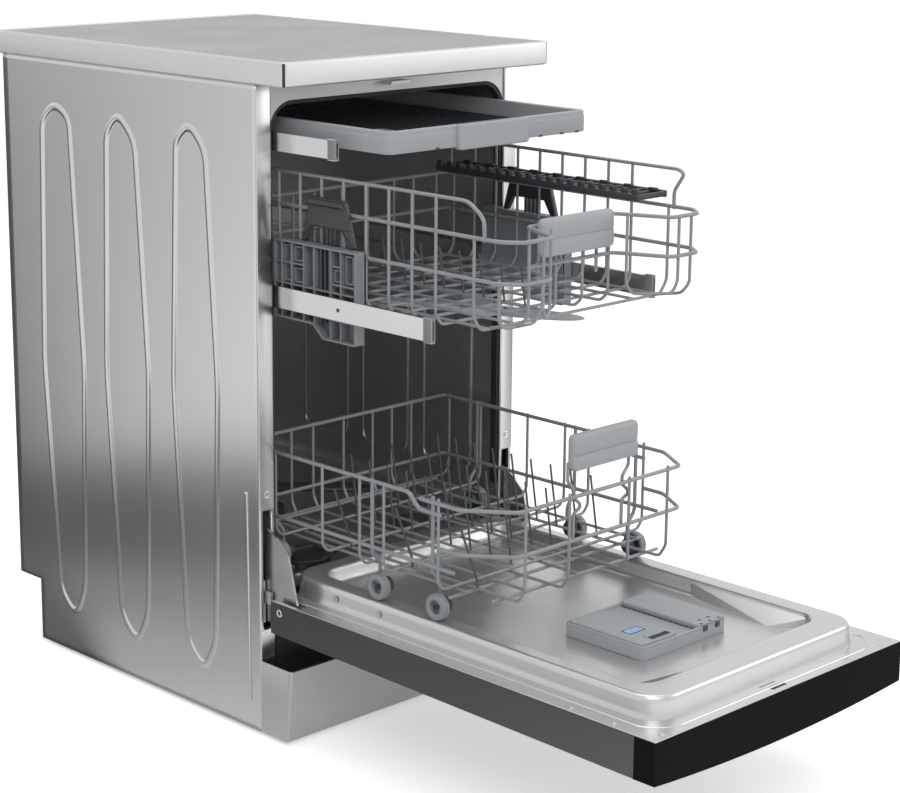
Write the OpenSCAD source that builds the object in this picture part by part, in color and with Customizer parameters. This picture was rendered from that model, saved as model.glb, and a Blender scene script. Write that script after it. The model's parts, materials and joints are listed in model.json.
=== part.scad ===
// Slimline freestanding dishwasher with three loading levels, door down and racks rolled out.
// Millimetres, +Z up. X = 0 is the middle, Z = 0 the floor and Y = 0 the face of the closed door;
// the cabinet stands behind that face, towards +Y, and the open door lies in front of it.

/* [Cabinet] */
// Overall height, floor to top of the worktop
total_h = 845; // [830:1:865]
// Width of the worktop
worktop_w = 450; // [448:1:456]
// Depth of the worktop, front edge to rear edge
worktop_d = 596; // [590:1:610]
// Thickness of the worktop
worktop_t = 30; // [26:1:34]
// How far the worktop stands in front of the closed door's face
worktop_lip = 6; // [3:1:9]
// Width of the edge trim round the worktop
worktop_trim_t = 2; // [1:0.5:3]
// How far the worktop overhangs the back of the cabinet
rear_overhang = 20; // [12:1:24]
// Width of the cabinet across its side panels
body_w = 446; // [444:1:448]
// Distance from the closed door's face back to the cabinet's front edge
door_recess = 48; // [47:0.5:50]
// Thickness of the cabinet's sheet steel
sheet_t = 1.5; // [1.2:0.1:1.7]
// Height of the side panels' lower edge above the floor
panel_lift = 5; // [4:0.5:7]
// Width of the side panels' front return flange
flange_w = 24; // [23:0.5:25]
// Height of the recess at the rear bottom corner of a side panel
notch_h = 86; // [80:1:90]
// Depth of the recess at the rear bottom corner of a side panel
notch_d = 48; // [40:1:50]

/* [Tub] */
// Width of the loading opening and of the tub inside
tub_w = 400; // [398:1:402]
// Height of the tub floor above the room's floor
tub_floor_z = 190; // [186:1:192]
// Height of the tub ceiling
tub_top_z = 793; // [788:1:798]
// Radius of the opening's corners
tub_corner_r = 36; // [24:1:44]
// Air gap between the tub's rear wall and the back panel
rear_gap = 19; // [16:1:22]
// Height of the wheel ledges' tops
ledge_z = 210; // [209:0.5:210.5]
// Width of a wheel ledge
ledge_w = 34; // [30:1:38]
// Width of the seal's lip
seal_t = 5; // [4:0.5:6]
// Depth of the seal along the tub
seal_d = 10; // [8:1:14]

/* [Base] */
// Height of the plinth's top edge
plinth_top_z = 99; // [90:1:104]
// How far the plinth leans forward at its top
plinth_lean = 9; // [4:1:11]
// Thickness of the plinth's sheet
plinth_t = 2; // [1.5:0.5:3]
// Height of the base tray's floor
base_z = 14; // [12:1:16]
// Height of the base tray's walls
base_wall_z = 120; // [108:1:126]
// Wall thickness of the base tray
base_t = 3; // [2.5:0.5:4]
// Radius of a levelling foot
foot_r = 18; // [14:1:20]
// Thickness of a levelling foot's pad
foot_h = 6; // [5:0.5:8]
// Radius of a levelling foot's stem
stem_r = 5; // [4:0.5:6]
// Radius of the water inlet's spigot
inlet_r = 13.2; // [12:0.1:13.5]
// Radius of the drain hose's spigot
drain_r = 10; // [9:0.5:11]

/* [Door] */
// Height of the hinge axis
hinge_z = 181; // [180:0.5:182]
// Distance of the hinge axis behind the closed door's face
hinge_y = 45; // [44:0.5:46]
// Length of the open door, rear end to front end
door_len = 617; // [605:1:625]
// Gap between the cabinet's front edge and the open door's rear end
door_gap = 20; // [16:1:22]
// Height of the open door's inner flange
door_top_z = 183.5; // [183:0.1:184]
// Thickness of the door at its front end
door_t = 49.5; // [46:0.5:52]
// How much thinner the door is at its rear end
door_taper = 8; // [4:1:10]
// Length of the control panel's wrap at the door's front end
panel_len = 29.5; // [26:0.5:34]
// How far the control panel's face bulges at its middle
panel_bulge = 9; // [5:0.5:11]
// Width over the raised rim
rim_w = 378; // [370:1:384]
// Width of the raised rim's flat top
rim_t = 30; // [24:1:34]
// Height of the liner's inner floor above the flange
dish_h = 6.5; // [4:0.5:8]
// Margin from the liner's front edge to the raised rim
rim_margin = 29; // [24:1:34]
// Radius of the raised rim's corners
rim_r = 38; // [30:1:44]

/* [Racks] */
// How far the upper basket stands out of its parked place
basket_travel = 385; // [375:1:395]
// Radius of a lower basket wheel
wheel_r = 16; // [14:0.5:16]
// Width of a lower basket wheel
wheel_w = 12; // [10:0.5:13]
// Thickness of a basket frame wire
frame_d = 5; // [4.5:0.1:5.4]
// Thickness of a basket grid wire
grid_d = 3.6; // [3:0.1:4]
// Half width of the lower basket at its rings
lower_hw = 180; // [176:1:181]
// Distance of the lower basket's front ring before the door face
lower_front = 313; // [305:1:318]
// Length of the lower basket
lower_len = 448; // [440:1:449]
// Height of the lower basket's upper ring
lower_ring_z = 357; // [350:1:362]
// Height of the lower basket's lower ring
lower_mid_z = 303.5; // [298:0.5:308]
// Height of the lower basket's floor grid
lower_floor_z = 248; // [247.5:0.5:250]
// Half width of the upper basket at its rings
upper_hw = 167.5; // [164:0.5:168]
// Distance of the upper basket's front noses before the door face
upper_front = 322; // [315:1:324]
// Length of the upper basket
upper_len = 440; // [420:1:444]
// Height of the upper basket's upper ring
upper_ring_z = 667; // [660:1:670]
// Height of the upper basket's lower ring
upper_mid_z = 620; // [614:1:626]
// Height of the upper basket's floor grid
upper_floor_z = 557; // [555:0.5:560]
// Height of the upper basket's raised side rims
upper_rim_z = 712; // [705:1:715]
// Half width of the top tray
tray_hw = 170; // [166:1:171]
// Distance of the top tray's front before the door face
tray_front = 126; // [118:1:128]
// Length of the top tray
tray_len = 440; // [420:1:444]
// Height of the top tray's lower edge
tray_z = 745; // [744:0.5:748]
// Height of the top tray's frame
tray_h = 26; // [22:1:27]

/* [Hidden] */
$fn = 48;

// Shared clearances
over = 1;
run_gap = 0.3;
weld_gap = 0.2;
pin_gap = 0.05;
shaft_gap = 0.3;
wire_sides = 8;

// Cabinet planes
worktop_z = total_h - worktop_t;
worktop_back = worktop_d - worktop_lip;
body_back = worktop_back - rear_overhang;
body_hw = body_w / 2;
inner_hw = body_hw - sheet_t;
frame_y = door_recess + sheet_t;
tub_y0 = frame_y + sheet_t;
tub_hw = tub_w / 2;
tub_y1 = body_back - sheet_t - rear_gap - sheet_t;
notch_z = panel_lift + notch_h;
notch_y = body_back - notch_d;
flange_x = body_hw - flange_w;

// Hinge slot through the front flange and the front frame
arm_t = 3;
arm_inset = 8;
arm_x0 = flange_x + arm_inset;
arm_x1 = arm_x0 + arm_t;
bracket_gap = 2;
bracket_x0 = arm_x1 + bracket_gap;
bracket_x1 = bracket_x0 + arm_t;
slot_margin = 2.5;
slot_x0 = arm_x0 - slot_margin;
slot_x1 = bracket_x1 + slot_margin;
slot_drop = 41;
slot_rise = 111;
slot_z0 = hinge_z - slot_drop;
slot_z1 = hinge_z + slot_rise;
hinge_pin_r = 4;
bracket_d = 60;
bracket_drop = 34;
bracket_rise = 20;

// Blanking plug in the left front flange
plug_r = 3.5;
plug_z = 312;
plug_t = 1;

// Base
base_y0 = tub_y0 + run_gap;
base_y1 = notch_y - base_t;
foot_x = 185;
foot_inset = 26;
foot_y0 = base_y0 + foot_inset;
foot_y1 = base_y1 - foot_inset;
boss_wall = 6;
boss_r = stem_r + boss_wall;
boss_h = 18;
stem_top = base_z + boss_h;
base_floor_t = 4;
deck_z = base_z + base_floor_t;

// Filter, sump and what hangs on it
filter_x = -110;
filter_y = 98;
filter_r = 36;
filter_top_z = 213;
filter_wall = 2.5;
filter_depth = 60;
sump_r = 41;
sump_wall = 3;
sump_h = 80;
sump_z1 = tub_floor_z - sheet_t;
sump_z0 = sump_z1 - sump_h;
pump_r = 38;
pump_len = 110;
pump_pipe_len = 12;
pump_x0 = filter_x + sump_r + pump_pipe_len;
pump_rise = 40;
pump_z = sump_z0 + pump_rise;
pump_pipe_r = 14;
heater_r = 22;
heater_len = 108;
drain_pump_r = 24;
drain_pump_len = 70;
salt_x = 105;
salt_y = 120;
salt_r = 28;
salt_cap_h = 14;
softener_x0 = 66;
softener_w = 104;
softener_y0 = 84;
softener_d = 190;
softener_neck_r = 34;
softener_z1 = 150;
weight_w = 220;
weight_d = 90;
weight_h = 60;
valve_x = -180;
valve_z = 66;
valve_w = 44;
valve_d = 40;
valve_bore_r = 7;
spigot_len = 22;
neck_cut = 1;
pipe_collar = 2;
drain_x = -135;

// Spray arms
arm_h = 11;
arm_w = 30;
hub_r = 20;
lower_arm_r = 152;
lower_arm_y = 300;
lower_arm_z = 222;
lower_arm_turn = 44;
upper_arm_r = 141;
upper_arm_turn = 22;
upper_hub_y = -102;
axle_r = 6;
nut_h = 2;
stem_base_r = 24;
stem_base_h = 10;
ceiling_r = 38;
ceiling_h = 9;
ceiling_drop = 5;
ceiling_y = 290;
ceiling_axle_r = 4;
ceiling_axle_h = 7;

// Riser on the rear wall
riser_w = 30;
riser_d = 15;
dock_r = 22;
dock_d = 17;
dock_gap = 0.5;

// Telescopic rails
rail_h = 26;
rail_t = 6;
groove_d = 3.5;
groove_h = 20;
rail_z = 558;
tray_rail_z = 746;
tray_rail_h = 22;
tray_groove_h = 16;
rail_front_gap = 12;
rail_rear_gap = 6;
rail_y0 = tub_y0 + seal_d + rail_front_gap;
rail_y1 = tub_y1 - rail_rear_gap;
slider_t = 5.4;
upper_rail_front = -210;
upper_rail_len = 440;
tray_rail_front = -49;
tray_rail_len = 400;
tray_rail_run = 90;
cap_len = 12;
cap_margin = 1.5;

// Lower basket
wheel_x0 = 169;
wheel_z = ledge_z + wheel_r + run_gap;
wheel_front_y = -216;
wheel_middle_y = -116;
wheel_rear_y = 65;
wheel_axle_r = 3;
wheel_bore_r = wheel_axle_r + shaft_gap;
wheel_hub_r = 7;
axle_end_r = 5;
bracket_in = 10;
bracket_t = 5;
lower_back = lower_len - lower_front;
lower_chamfer_x = 38;
lower_chamfer_y = 56;
lower_side_y0 = -lower_front + lower_chamfer_y;
lower_front_hw = lower_hw - lower_chamfer_x;
lower_steps_y = 9;
lower_steps_x = 8;
tine_h = 78;
tine_d = 3;
tine_pitch = 34;
tine_count = 9;
lower_tine_x = -58;
lower_tine_y0 = -222;
lower_fixed_tines = [14, 96];
handle_hw = 57;
handle_t = 13;
lower_handle_h = 44;
lower_handle_z = 386;
post_x = 45;

// Upper basket
upper_back = upper_len - upper_front;
nose_x0 = 104;
nose_x1 = 150;
nose_back = 20;
recess_x = 74;
recess_d = 68;
recess_y = -upper_front + recess_d;
upper_steps_x = 8;
upper_steps_y = 9;
rim_left_y0 = -235;
rim_right_y0 = -288;
upper_handle_z = 631;
upper_handle_h = 45;
upper_handle_hw = 62;
carrier_y0 = -88;
carrier_y1 = 58;
carrier_z0 = 516;
carrier_z1 = 628;
lever_y0 = -74;
lever_y1 = 20;
lever_z0 = carrier_z1 + run_gap;
lever_h = 56;
lever_t = 7;
lever_taper = 14;
shelf_w = 56;
shelf_t = 9;
shelf_y0 = -262;
shelf_len = 346;
shelf_z = 682;
shelf_slats = 12;
upper_tine_x = -30;
upper_tine_y0 = -212;
upper_tine_h = 52;
duct_w = 26;
duct_h = 9.6;
duct_z1 = upper_floor_z - frame_d / 2 - run_gap;
duct_z0 = duct_z1 - duct_h;
upper_arm_z = duct_z0 - run_gap - arm_h;
duct_y1 = tub_y1 - dock_d - dock_gap - basket_travel;

// Top tray
tray_wall = 9;
tray_floor_t = 3;
tray_runner_y0 = -35;
tray_runner_h = 10;
tray_slat_w = 4;
tray_slats = 22;
tray_cross = 5;
tray_back = tray_len - tray_front;
grip_hw = 60;
grip_t = 4;

// Door, lying open
door_y1 = door_recess - door_gap;
door_y0 = door_y1 - door_len;
door_hw = body_hw;
liner_t = sheet_t;
skin_top = door_top_z - liner_t;
skin_front_y = door_y0 + panel_len;
skin_z_front = door_top_z - door_t;
skin_z_rear = skin_z_front + door_taper;
taper_share = panel_len / door_len;
skin_z_panel = skin_z_front + door_taper * taper_share;
rim_hw = rim_w / 2;
rim_z = ledge_z;
rim_y0 = door_y0 + rim_margin;
rim_y1 = 40;
dish_hw = rim_hw - rim_t;
dish_z = door_top_z + dish_h;
rim_front_extra = 12;
dish_y0 = rim_y0 + rim_t + rim_front_extra;
dish_y1 = rim_y1 - rim_t;
dish_r_drop = 12;
dish_r = rim_r - dish_r_drop;
lock_slot_w = 26;
lock_slot_d = 6;
lock_inset = 14;
lock_y = door_y0 + lock_inset;
lock_w = 60;
lock_h = 24;
lock_d = 22;
button_r = 7;
button_gap = 0.4;
button_proud = 1;
button_x = 150;
button_y = door_y0 + panel_len / 2;
button_flange = 2;
bulge_steps = 17;
panel_wall = 2.5;
panel_lip = 3;
panel_floor_z = skin_z_front + panel_lip;
skin_plug_y = 11;
skin_plug_z = 173;
skin_plug_r = 5;
disp_x0 = -66;
disp_x1 = 84;
disp_y0 = -438;
disp_y1 = -316;
disp_lid_h = 13;
disp_h = 19.5;
disp_lid_z = dish_z + disp_lid_h;
disp_top_z = dish_z + disp_h;
disp_lid_w = 62;
disp_well_w = 30;
disp_wall = 3;

// Basic shapes

// A box between two corners
module span(a, b) {
    translate([min(a[0], b[0]), min(a[1], b[1]), min(a[2], b[2])])
        cube([abs(b[0] - a[0]), abs(b[1] - a[1]), abs(b[2] - a[2])]);
}

// The children, and the same mirrored to the other side
module both_sides() {
    children();
    mirror([1, 0, 0]) children();
}

// A rectangle with round corners
module round_rect(x0, x1, y0, y1, r) {
    translate([x0 + r, y0]) square([x1 - x0 - 2 * r, y1 - y0]);
    translate([x0, y0 + r]) square([x1 - x0, y1 - y0 - 2 * r]);
    for (x = [x0 + r, x1 - r], y = [y0 + r, y1 - r])
        translate([x, y]) circle(r);
}

// A block with round upright corners
module round_slab(x0, x1, y0, y1, z0, z1, r) {
    translate([0, 0, z0]) linear_extrude(z1 - z0) round_rect(x0, x1, y0, y1, r);
}

// A block with round corners seen from the front
module front_slab(hw, z0, z1, y0, y1, r) {
    translate([0, y1, 0]) rotate([90, 0, 0]) linear_extrude(y1 - y0) round_rect(-hw, hw, z0, z1, r);
}

// A side profile, given as [y, z] points, between two X planes
module side_prism(points, x0, x1) {
    translate([x0, 0, 0]) rotate([90, 0, 90]) linear_extrude(x1 - x0) polygon(points);
}

// Round bars along the axes
module bar_x(x0, x1, y, z, r) {
    translate([x0, y, z]) rotate([0, 90, 0]) cylinder(h = x1 - x0, r = r);
}
module bar_y(x, y0, y1, z, r) {
    translate([x, y1, z]) rotate([90, 0, 0]) cylinder(h = y1 - y0, r = r);
}
module bar_z(x, y, z0, z1, r) {
    translate([x, y, z0]) cylinder(h = z1 - z0, r = r);
}

// Basket wires along the axes
module wire_x(x0, x1, y, z, d) {
    bar_x(x0, x1, y, z, d / 2, $fn = wire_sides);
}
module wire_y(x, y0, y1, z, d) {
    bar_y(x, y0, y1, z, d / 2, $fn = wire_sides);
}
module wire_z(x, y, z0, z1, d) {
    bar_z(x, y, z0, z1, d / 2, $fn = wire_sides);
}

// A level wire between two points [x, y]
module wire_xy(a, b, z, d) {
    turn = atan2(b[1] - a[1], b[0] - a[0]);
    translate([a[0], a[1], z]) rotate([0, 0, turn])
        bar_x(-d / 4, norm(b - a) + d / 4, 0, 0, d / 2, $fn = wire_sides);
}

// Even places from a to b
function places(a, b, count) = [for (i = [0 : count - 1]) a + (b - a) * i / (count - 1)];

// Cabinet

module base_tray() {
    color("#26282a") difference() {
        union() {
            difference() {
                span([-inner_hw, base_y0, base_z], [inner_hw, base_y1, base_wall_z]);
                span([-inner_hw + base_t, base_y0 + base_t, deck_z],
                     [inner_hw - base_t, base_y1 - base_t, base_wall_z + over]);
            }
            for (x = [-foot_x, foot_x], y = [foot_y0, foot_y1])
                bar_z(x, y, base_z, base_z + boss_h, boss_r);
        }
        for (x = [-foot_x, foot_x], y = [foot_y0, foot_y1])
            bar_z(x, y, base_z - over, stem_top + over, stem_r + pin_gap);
        bar_y(valve_x, base_y1 - base_t - over, base_y1 + over, valve_z, inlet_r + run_gap);
        bar_y(drain_x, base_y1 - base_t - over, base_y1 + over, valve_z, drain_r + run_gap);
    }
}

module levelling_feet() {
    color("#3a3c3e") for (x = [-foot_x, foot_x], y = [foot_y0, foot_y1]) {
        bar_z(x, y, 0, foot_h, foot_r);
        bar_z(x, y, foot_h, stem_top, stem_r);
    }
}

// The plinth is a bent sheet: a leaning face with a return along each side, open above and below
module plinth() {
    top_y = -plinth_lean;
    lean_over = plinth_lean * over / (plinth_top_z - panel_lift);
    color("#a9abac") difference() {
        side_prism([[0, panel_lift], [door_recess, panel_lift], [door_recess, plinth_top_z],
                   [top_y, plinth_top_z]],
                   -body_hw, body_hw);
        side_prism([[plinth_t + lean_over, panel_lift - over], [door_recess + over, panel_lift - over],
                    [door_recess + over, plinth_top_z + over],
                            [top_y + plinth_t - lean_over, plinth_top_z + over]],
                   -body_hw + plinth_t, body_hw - plinth_t);
    }
}

// A dark sheet that closes the gap between the plinth and the door's hinges
module hinge_apron() {
    apron_t = 3;
    apron_gap = 6;
    color("#1d1e20")
        span([-flange_x + run_gap, frame_y - apron_t, base_z],
             [flange_x - run_gap, frame_y, tub_floor_z - apron_gap]);
}

// One side panel: a sheet with a front return flange and a recess at the rear bottom corner
module side_panel() {
    difference() {
        union() {
            side_prism([[door_recess, panel_lift], [notch_y, panel_lift], [notch_y, notch_z],
                       [body_back, notch_z],
                        [body_back, worktop_z], [door_recess, worktop_z]], inner_hw, body_hw);
            span([flange_x, door_recess, plinth_top_z], [inner_hw, frame_y, worktop_z]);
        }
        span([slot_x0, door_recess - over, slot_z0], [slot_x1, frame_y + over, slot_z1]);
    }
}

module side_panel_right() {
    color("#8f9294") side_panel();
}

module side_panel_left() {
    color("#8f9294") {
        mirror([1, 0, 0]) side_panel();
        bar_y(-bracket_x0, door_recess - plug_t, door_recess, plug_z, plug_r);
    }
}

module back_panel() {
    color("#9a9c9e")
        span([-inner_hw, body_back - sheet_t, notch_z], [inner_hw, body_back, worktop_z]);
}

module worktop() {
    color("#b4b6b8")
        span([-worktop_w / 2 + worktop_trim_t, -worktop_lip + worktop_trim_t, worktop_z],
             [worktop_w / 2 - worktop_trim_t, worktop_back - worktop_trim_t, total_h]);
}

module worktop_trim() {
    color("#dcdee0") difference() {
        span([-worktop_w / 2, -worktop_lip, worktop_z], [worktop_w / 2, worktop_back, total_h]);
        span([-worktop_w / 2 + worktop_trim_t, -worktop_lip + worktop_trim_t, worktop_z - over],
             [worktop_w / 2 - worktop_trim_t, worktop_back - worktop_trim_t, total_h + over]);
    }
}

module front_frame() {
    color("#c4c6c8") difference() {
        span([-inner_hw, frame_y, plinth_top_z], [inner_hw, tub_y0, worktop_z]);
        front_slab(tub_hw, tub_floor_z, tub_top_z, frame_y - over, tub_y0 + over, tub_corner_r);
        both_sides() span([slot_x0, frame_y - over, slot_z0], [slot_x1, tub_y0 + over, slot_z1]);
    }
}

// The tub's wheel ledges, grown by g on their inner side and top
module ledges(g, z0) {
    both_sides() span([tub_hw - ledge_w - g, tub_y0 - over, z0],
               [tub_hw + over, tub_y1 + over, ledge_z + g - sheet_t]);
}

module tub() {
    color("#6d7072") difference() {
        front_slab(tub_hw + sheet_t, tub_floor_z - sheet_t, tub_top_z + sheet_t, tub_y0, tub_y1 + sheet_t,
                   tub_corner_r + sheet_t);
        difference() {
            front_slab(tub_hw, tub_floor_z, tub_top_z, tub_y0 - over, tub_y1, tub_corner_r);
            ledges(sheet_t, tub_floor_z - over);
        }
        intersection() {
            ledges(0, tub_floor_z - sheet_t - over);
            front_slab(tub_hw, tub_floor_z - sheet_t - over, tub_top_z, tub_y0 - over, tub_y1,
                       tub_corner_r);
        }
        bar_z(filter_x, filter_y, tub_floor_z - sheet_t - over, tub_floor_z + over, sump_r - sump_wall);
        bar_z(salt_x, salt_y, tub_floor_z - sheet_t - over, tub_floor_z + over, salt_r + run_gap);
    }
}

module tub_seal() {
    color("#2b2d2f") difference() {
        front_slab(tub_hw - run_gap, tub_floor_z, tub_top_z - run_gap, tub_y0, tub_y0 + seal_d,
                   tub_corner_r - run_gap);
        front_slab(tub_hw - seal_t, tub_floor_z - over, tub_top_z - seal_t, tub_y0 - over,
                   tub_y0 + seal_d + over,
                   tub_corner_r - seal_t);
        span([-tub_hw - over, tub_y0 - over, tub_floor_z - over],
             [tub_hw + over, tub_y0 + seal_d + over, ledge_z + tub_corner_r]);
    }
}

module latch_striker() {
    striker_hw = 16;
    striker_h = 4;
    striker_reach = 16;
    striker_z = (tub_top_z + worktop_z - striker_h) / 2;
    color("#d7d9db") difference() {
        span([-striker_hw, frame_y - striker_reach, striker_z],
             [striker_hw, frame_y, striker_z + striker_h]);
        span([-striker_hw / 2, frame_y - striker_reach + striker_h, striker_z - over],
             [striker_hw / 2, frame_y - striker_h, striker_z + striker_h + over]);
    }
}

module counterweight() {
    color("#8c8a86")
        span([-weight_w / 2, base_y1 - base_t - weight_d, deck_z],
             [weight_w / 2, base_y1 - base_t, deck_z + weight_h]);
}

module cabinet_screws() {
    head_r = 3.5;
    head_h = 2;
    rows = places(notch_z + notch_h / 4, worktop_z - notch_h / 4, 4);
    color("#c9cbcd") for (x = [-inner_hw + foot_r, inner_hw - foot_r], z = rows)
        bar_y(x, body_back, body_back + head_h, z, head_r);
}

// Water works under the tub

module sump() {
    color("#d8d9d6") difference() {
        bar_z(filter_x, filter_y, sump_z0, sump_z1, sump_r);
        bar_z(filter_x, filter_y, sump_z0 + sump_wall, sump_z1 + over, sump_r - sump_wall);
        bar_x(filter_x, filter_x + sump_r + over, filter_y, pump_z, pump_pipe_r - sump_wall);
    }
}

module circulation_pump() {
    color("#45494d") {
        difference() {
            bar_x(filter_x + sump_r + run_gap, pump_x0 + over, filter_y, pump_z, pump_pipe_r);
            bar_x(filter_x, pump_x0, filter_y, pump_z, pump_pipe_r - sump_wall);
        }
        bar_x(pump_x0, pump_x0 + pump_len, filter_y, pump_z, pump_r);
    }
    // the flow heater lies along the pump
    color("#b9bcbe")
        bar_x(pump_x0, pump_x0 + heater_len, filter_y + pump_r + heater_r + run_gap, pump_z, heater_r);
}

module drain_pump() {
    color("#2f6fae") {
        bar_y(filter_x, filter_y + sump_r + run_gap, filter_y + sump_r + drain_pump_len, pump_z,
              drain_pump_r);
    }
    color("#d8d9d6") {
        bar_z(filter_x, filter_y + sump_r + drain_pump_len / 2, deck_z, pump_z, drain_r);
    }
}

module softener() {
    color("#e1e0da") difference() {
        union() {
            span([softener_x0, softener_y0, deck_z],
                 [softener_x0 + softener_w, softener_y0 + softener_d, softener_z1 - sump_wall]);
            bar_z(salt_x, salt_y, softener_z1 - sump_wall - over, tub_floor_z - sheet_t, softener_neck_r);
        }
        bar_z(salt_x, salt_y, softener_z1, tub_floor_z, salt_r - sump_wall);
    }
}

module inlet_valve() {
    valve_y1 = base_y1 - base_t;
    spigot_y0 = base_y1 + neck_cut;
    spigot_y1 = spigot_y0 + spigot_len;
    color("#e8e8e4") difference() {
        union() {
            span([valve_x - valve_w / 2, valve_y1 - valve_d, valve_z - valve_w / 2],
                 [valve_x + valve_w / 2, valve_y1, valve_z + valve_w / 2]);
            bar_y(valve_x, valve_y1 - over, spigot_y0, valve_z, inlet_r - neck_cut);
            bar_y(valve_x, spigot_y0, spigot_y1, valve_z, inlet_r);
        }
        bar_y(valve_x, valve_y1, spigot_y1 + over, valve_z, valve_bore_r);
    }
    color("#2b2d2f") difference() {
        union() {
            bar_y(drain_x, valve_y1 - valve_d, valve_y1, valve_z, drain_r + pipe_collar);
            bar_y(drain_x, valve_y1 - over, spigot_y0, valve_z, drain_r - neck_cut);
            bar_y(drain_x, spigot_y0, spigot_y1, valve_z, drain_r);
        }
        bar_y(drain_x, valve_y1, spigot_y1 + over, valve_z, drain_r - sump_wall);
    }
}

// The riser on the rear wall with its dock and ceiling duct, and the stem that carries the lower arm
module spray_ducts() {
    dock_z = (duct_z0 + duct_z1) / 2;
    axle_bottom = tub_top_z - ceiling_drop - ceiling_axle_h;
    color("#5b6064") {
        difference() {
            union() {
                span([-riser_w / 2, tub_y1 - riser_d, tub_floor_z], [riser_w / 2, tub_y1, tub_top_z]);
                bar_y(0, tub_y1 - dock_d, tub_y1, dock_z, dock_r);
            }
            span([-duct_w / 2 + sump_wall, tub_y1 - dock_d - over, duct_z0 + nut_h],
                 [duct_w / 2 - sump_wall, tub_y1 - riser_d / 2, duct_z1 - nut_h]);
        }
        span([-riser_w / 2, ceiling_y, tub_top_z - ceiling_drop],
             [riser_w / 2, tub_y1 - riser_d, tub_top_z]);
        bar_z(0, ceiling_y + riser_w / 2, axle_bottom, tub_top_z - ceiling_drop, ceiling_axle_r);
        bar_z(0, lower_arm_y, tub_floor_z, tub_floor_z + stem_base_h, stem_base_r);
        bar_z(0, lower_arm_y, tub_floor_z, lower_arm_z - run_gap, hub_r - axle_r);
        bar_z(0, lower_arm_y, tub_floor_z, lower_arm_z + arm_h + run_gap, axle_r);
        bar_z(0, lower_arm_y, lower_arm_z + arm_h + run_gap, lower_arm_z + arm_h + run_gap + nut_h,
              axle_r + nut_h);
    }
}

module filter_plate() {
    plate_t = 2;
    color("#c0c3c6") difference() {
        round_slab(filter_x - sump_r, filter_x + sump_r + filter_r, filter_y - filter_r,
                   filter_y + sump_r + filter_r,
                   tub_floor_z, tub_floor_z + plate_t, filter_r / 2);
        bar_z(filter_x, filter_y, tub_floor_z - over, tub_floor_z + plate_t + over, filter_r + run_gap);
    }
}

module filter_cylinder() {
    knob_h = 10;
    knob_w = 8;
    cup_z1 = filter_top_z - knob_h;
    color("#4e5357") {
        difference() {
            bar_z(filter_x, filter_y, tub_floor_z - filter_depth, cup_z1, filter_r);
            bar_z(filter_x, filter_y, tub_floor_z - filter_depth + filter_wall, cup_z1 - filter_wall,
                  filter_r - filter_wall);
        }
        span([filter_x - filter_r / 2, filter_y - knob_w / 2, cup_z1],
             [filter_x + filter_r / 2, filter_y + knob_w / 2, filter_top_z]);
    }
}

module salt_cap() {
    color("#5a6065") {
        bar_z(salt_x, salt_y, tub_floor_z - sheet_t, tub_floor_z + salt_cap_h / 2, salt_r);
        span([salt_x - salt_r / 2, salt_y - salt_cap_h / 4, tub_floor_z + salt_cap_h / 2],
             [salt_x + salt_r / 2, salt_y + salt_cap_h / 4, tub_floor_z + salt_cap_h]);
    }
}

// Spray arms

// A two-blade arm of length r each way round [0, 0], lower face at z = 0
module blade_arm(r) {
    difference() {
        union() {
            round_slab(-arm_w / 2, arm_w / 2, -r, r, 0, arm_h, arm_w / 2 - over);
            bar_z(0, 0, 0, arm_h, hub_r);
        }
        bar_z(0, 0, -over, arm_h + over, axle_r + shaft_gap);
    }
}

module lower_spray_arm() {
    color("#54585c") translate([0, lower_arm_y, lower_arm_z]) rotate([0, 0,
          lower_arm_turn]) blade_arm(lower_arm_r);
}

module upper_spray_arm() {
    color("#a4a9ad") translate([0, upper_hub_y, upper_arm_z]) rotate([0, 0,
          upper_arm_turn]) blade_arm(upper_arm_r);
}

// A flat duct under the upper basket, with the stem that carries its arm
module feed_pipe() {
    color("#8a9095") {
        span([-duct_w / 2, upper_hub_y, duct_z0], [duct_w / 2, duct_y1, duct_z1]);
        bar_z(0, upper_hub_y, duct_z0, duct_z1, hub_r);
        bar_z(0, upper_hub_y, upper_arm_z - run_gap, duct_z0 + over, axle_r);
        bar_z(0, upper_hub_y, upper_arm_z - run_gap - nut_h, upper_arm_z - run_gap, axle_r + nut_h);
    }
}

module ceiling_sprayer() {
    disc_z = tub_top_z - ceiling_drop - run_gap;
    color("#9ea3a7") difference() {
        bar_z(0, ceiling_y + riser_w / 2, disc_z - ceiling_h, disc_z, ceiling_r);
        bar_z(0, ceiling_y + riser_w / 2, disc_z - ceiling_axle_h, disc_z + over,
              ceiling_axle_r + shaft_gap);
    }
}

// Rails

// One pair of fixed channels on the tub's side walls
module rail_channel(z, h, slot_h) {
    both_sides() difference() {
        span([tub_hw - rail_t, rail_y0, z - h / 2], [tub_hw, rail_y1, z + h / 2]);
        span([tub_hw - rail_t - over, rail_y0 - over, z - slot_h / 2],
             [tub_hw - rail_t + groove_d, rail_y1 + over, z + slot_h / 2]);
    }
}

module fixed_rails() {
    color("#b0b3b5") {
        rail_channel(rail_z, rail_h, groove_h);
        rail_channel(tray_rail_z, tray_rail_h, tray_groove_h);
    }
}

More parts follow.
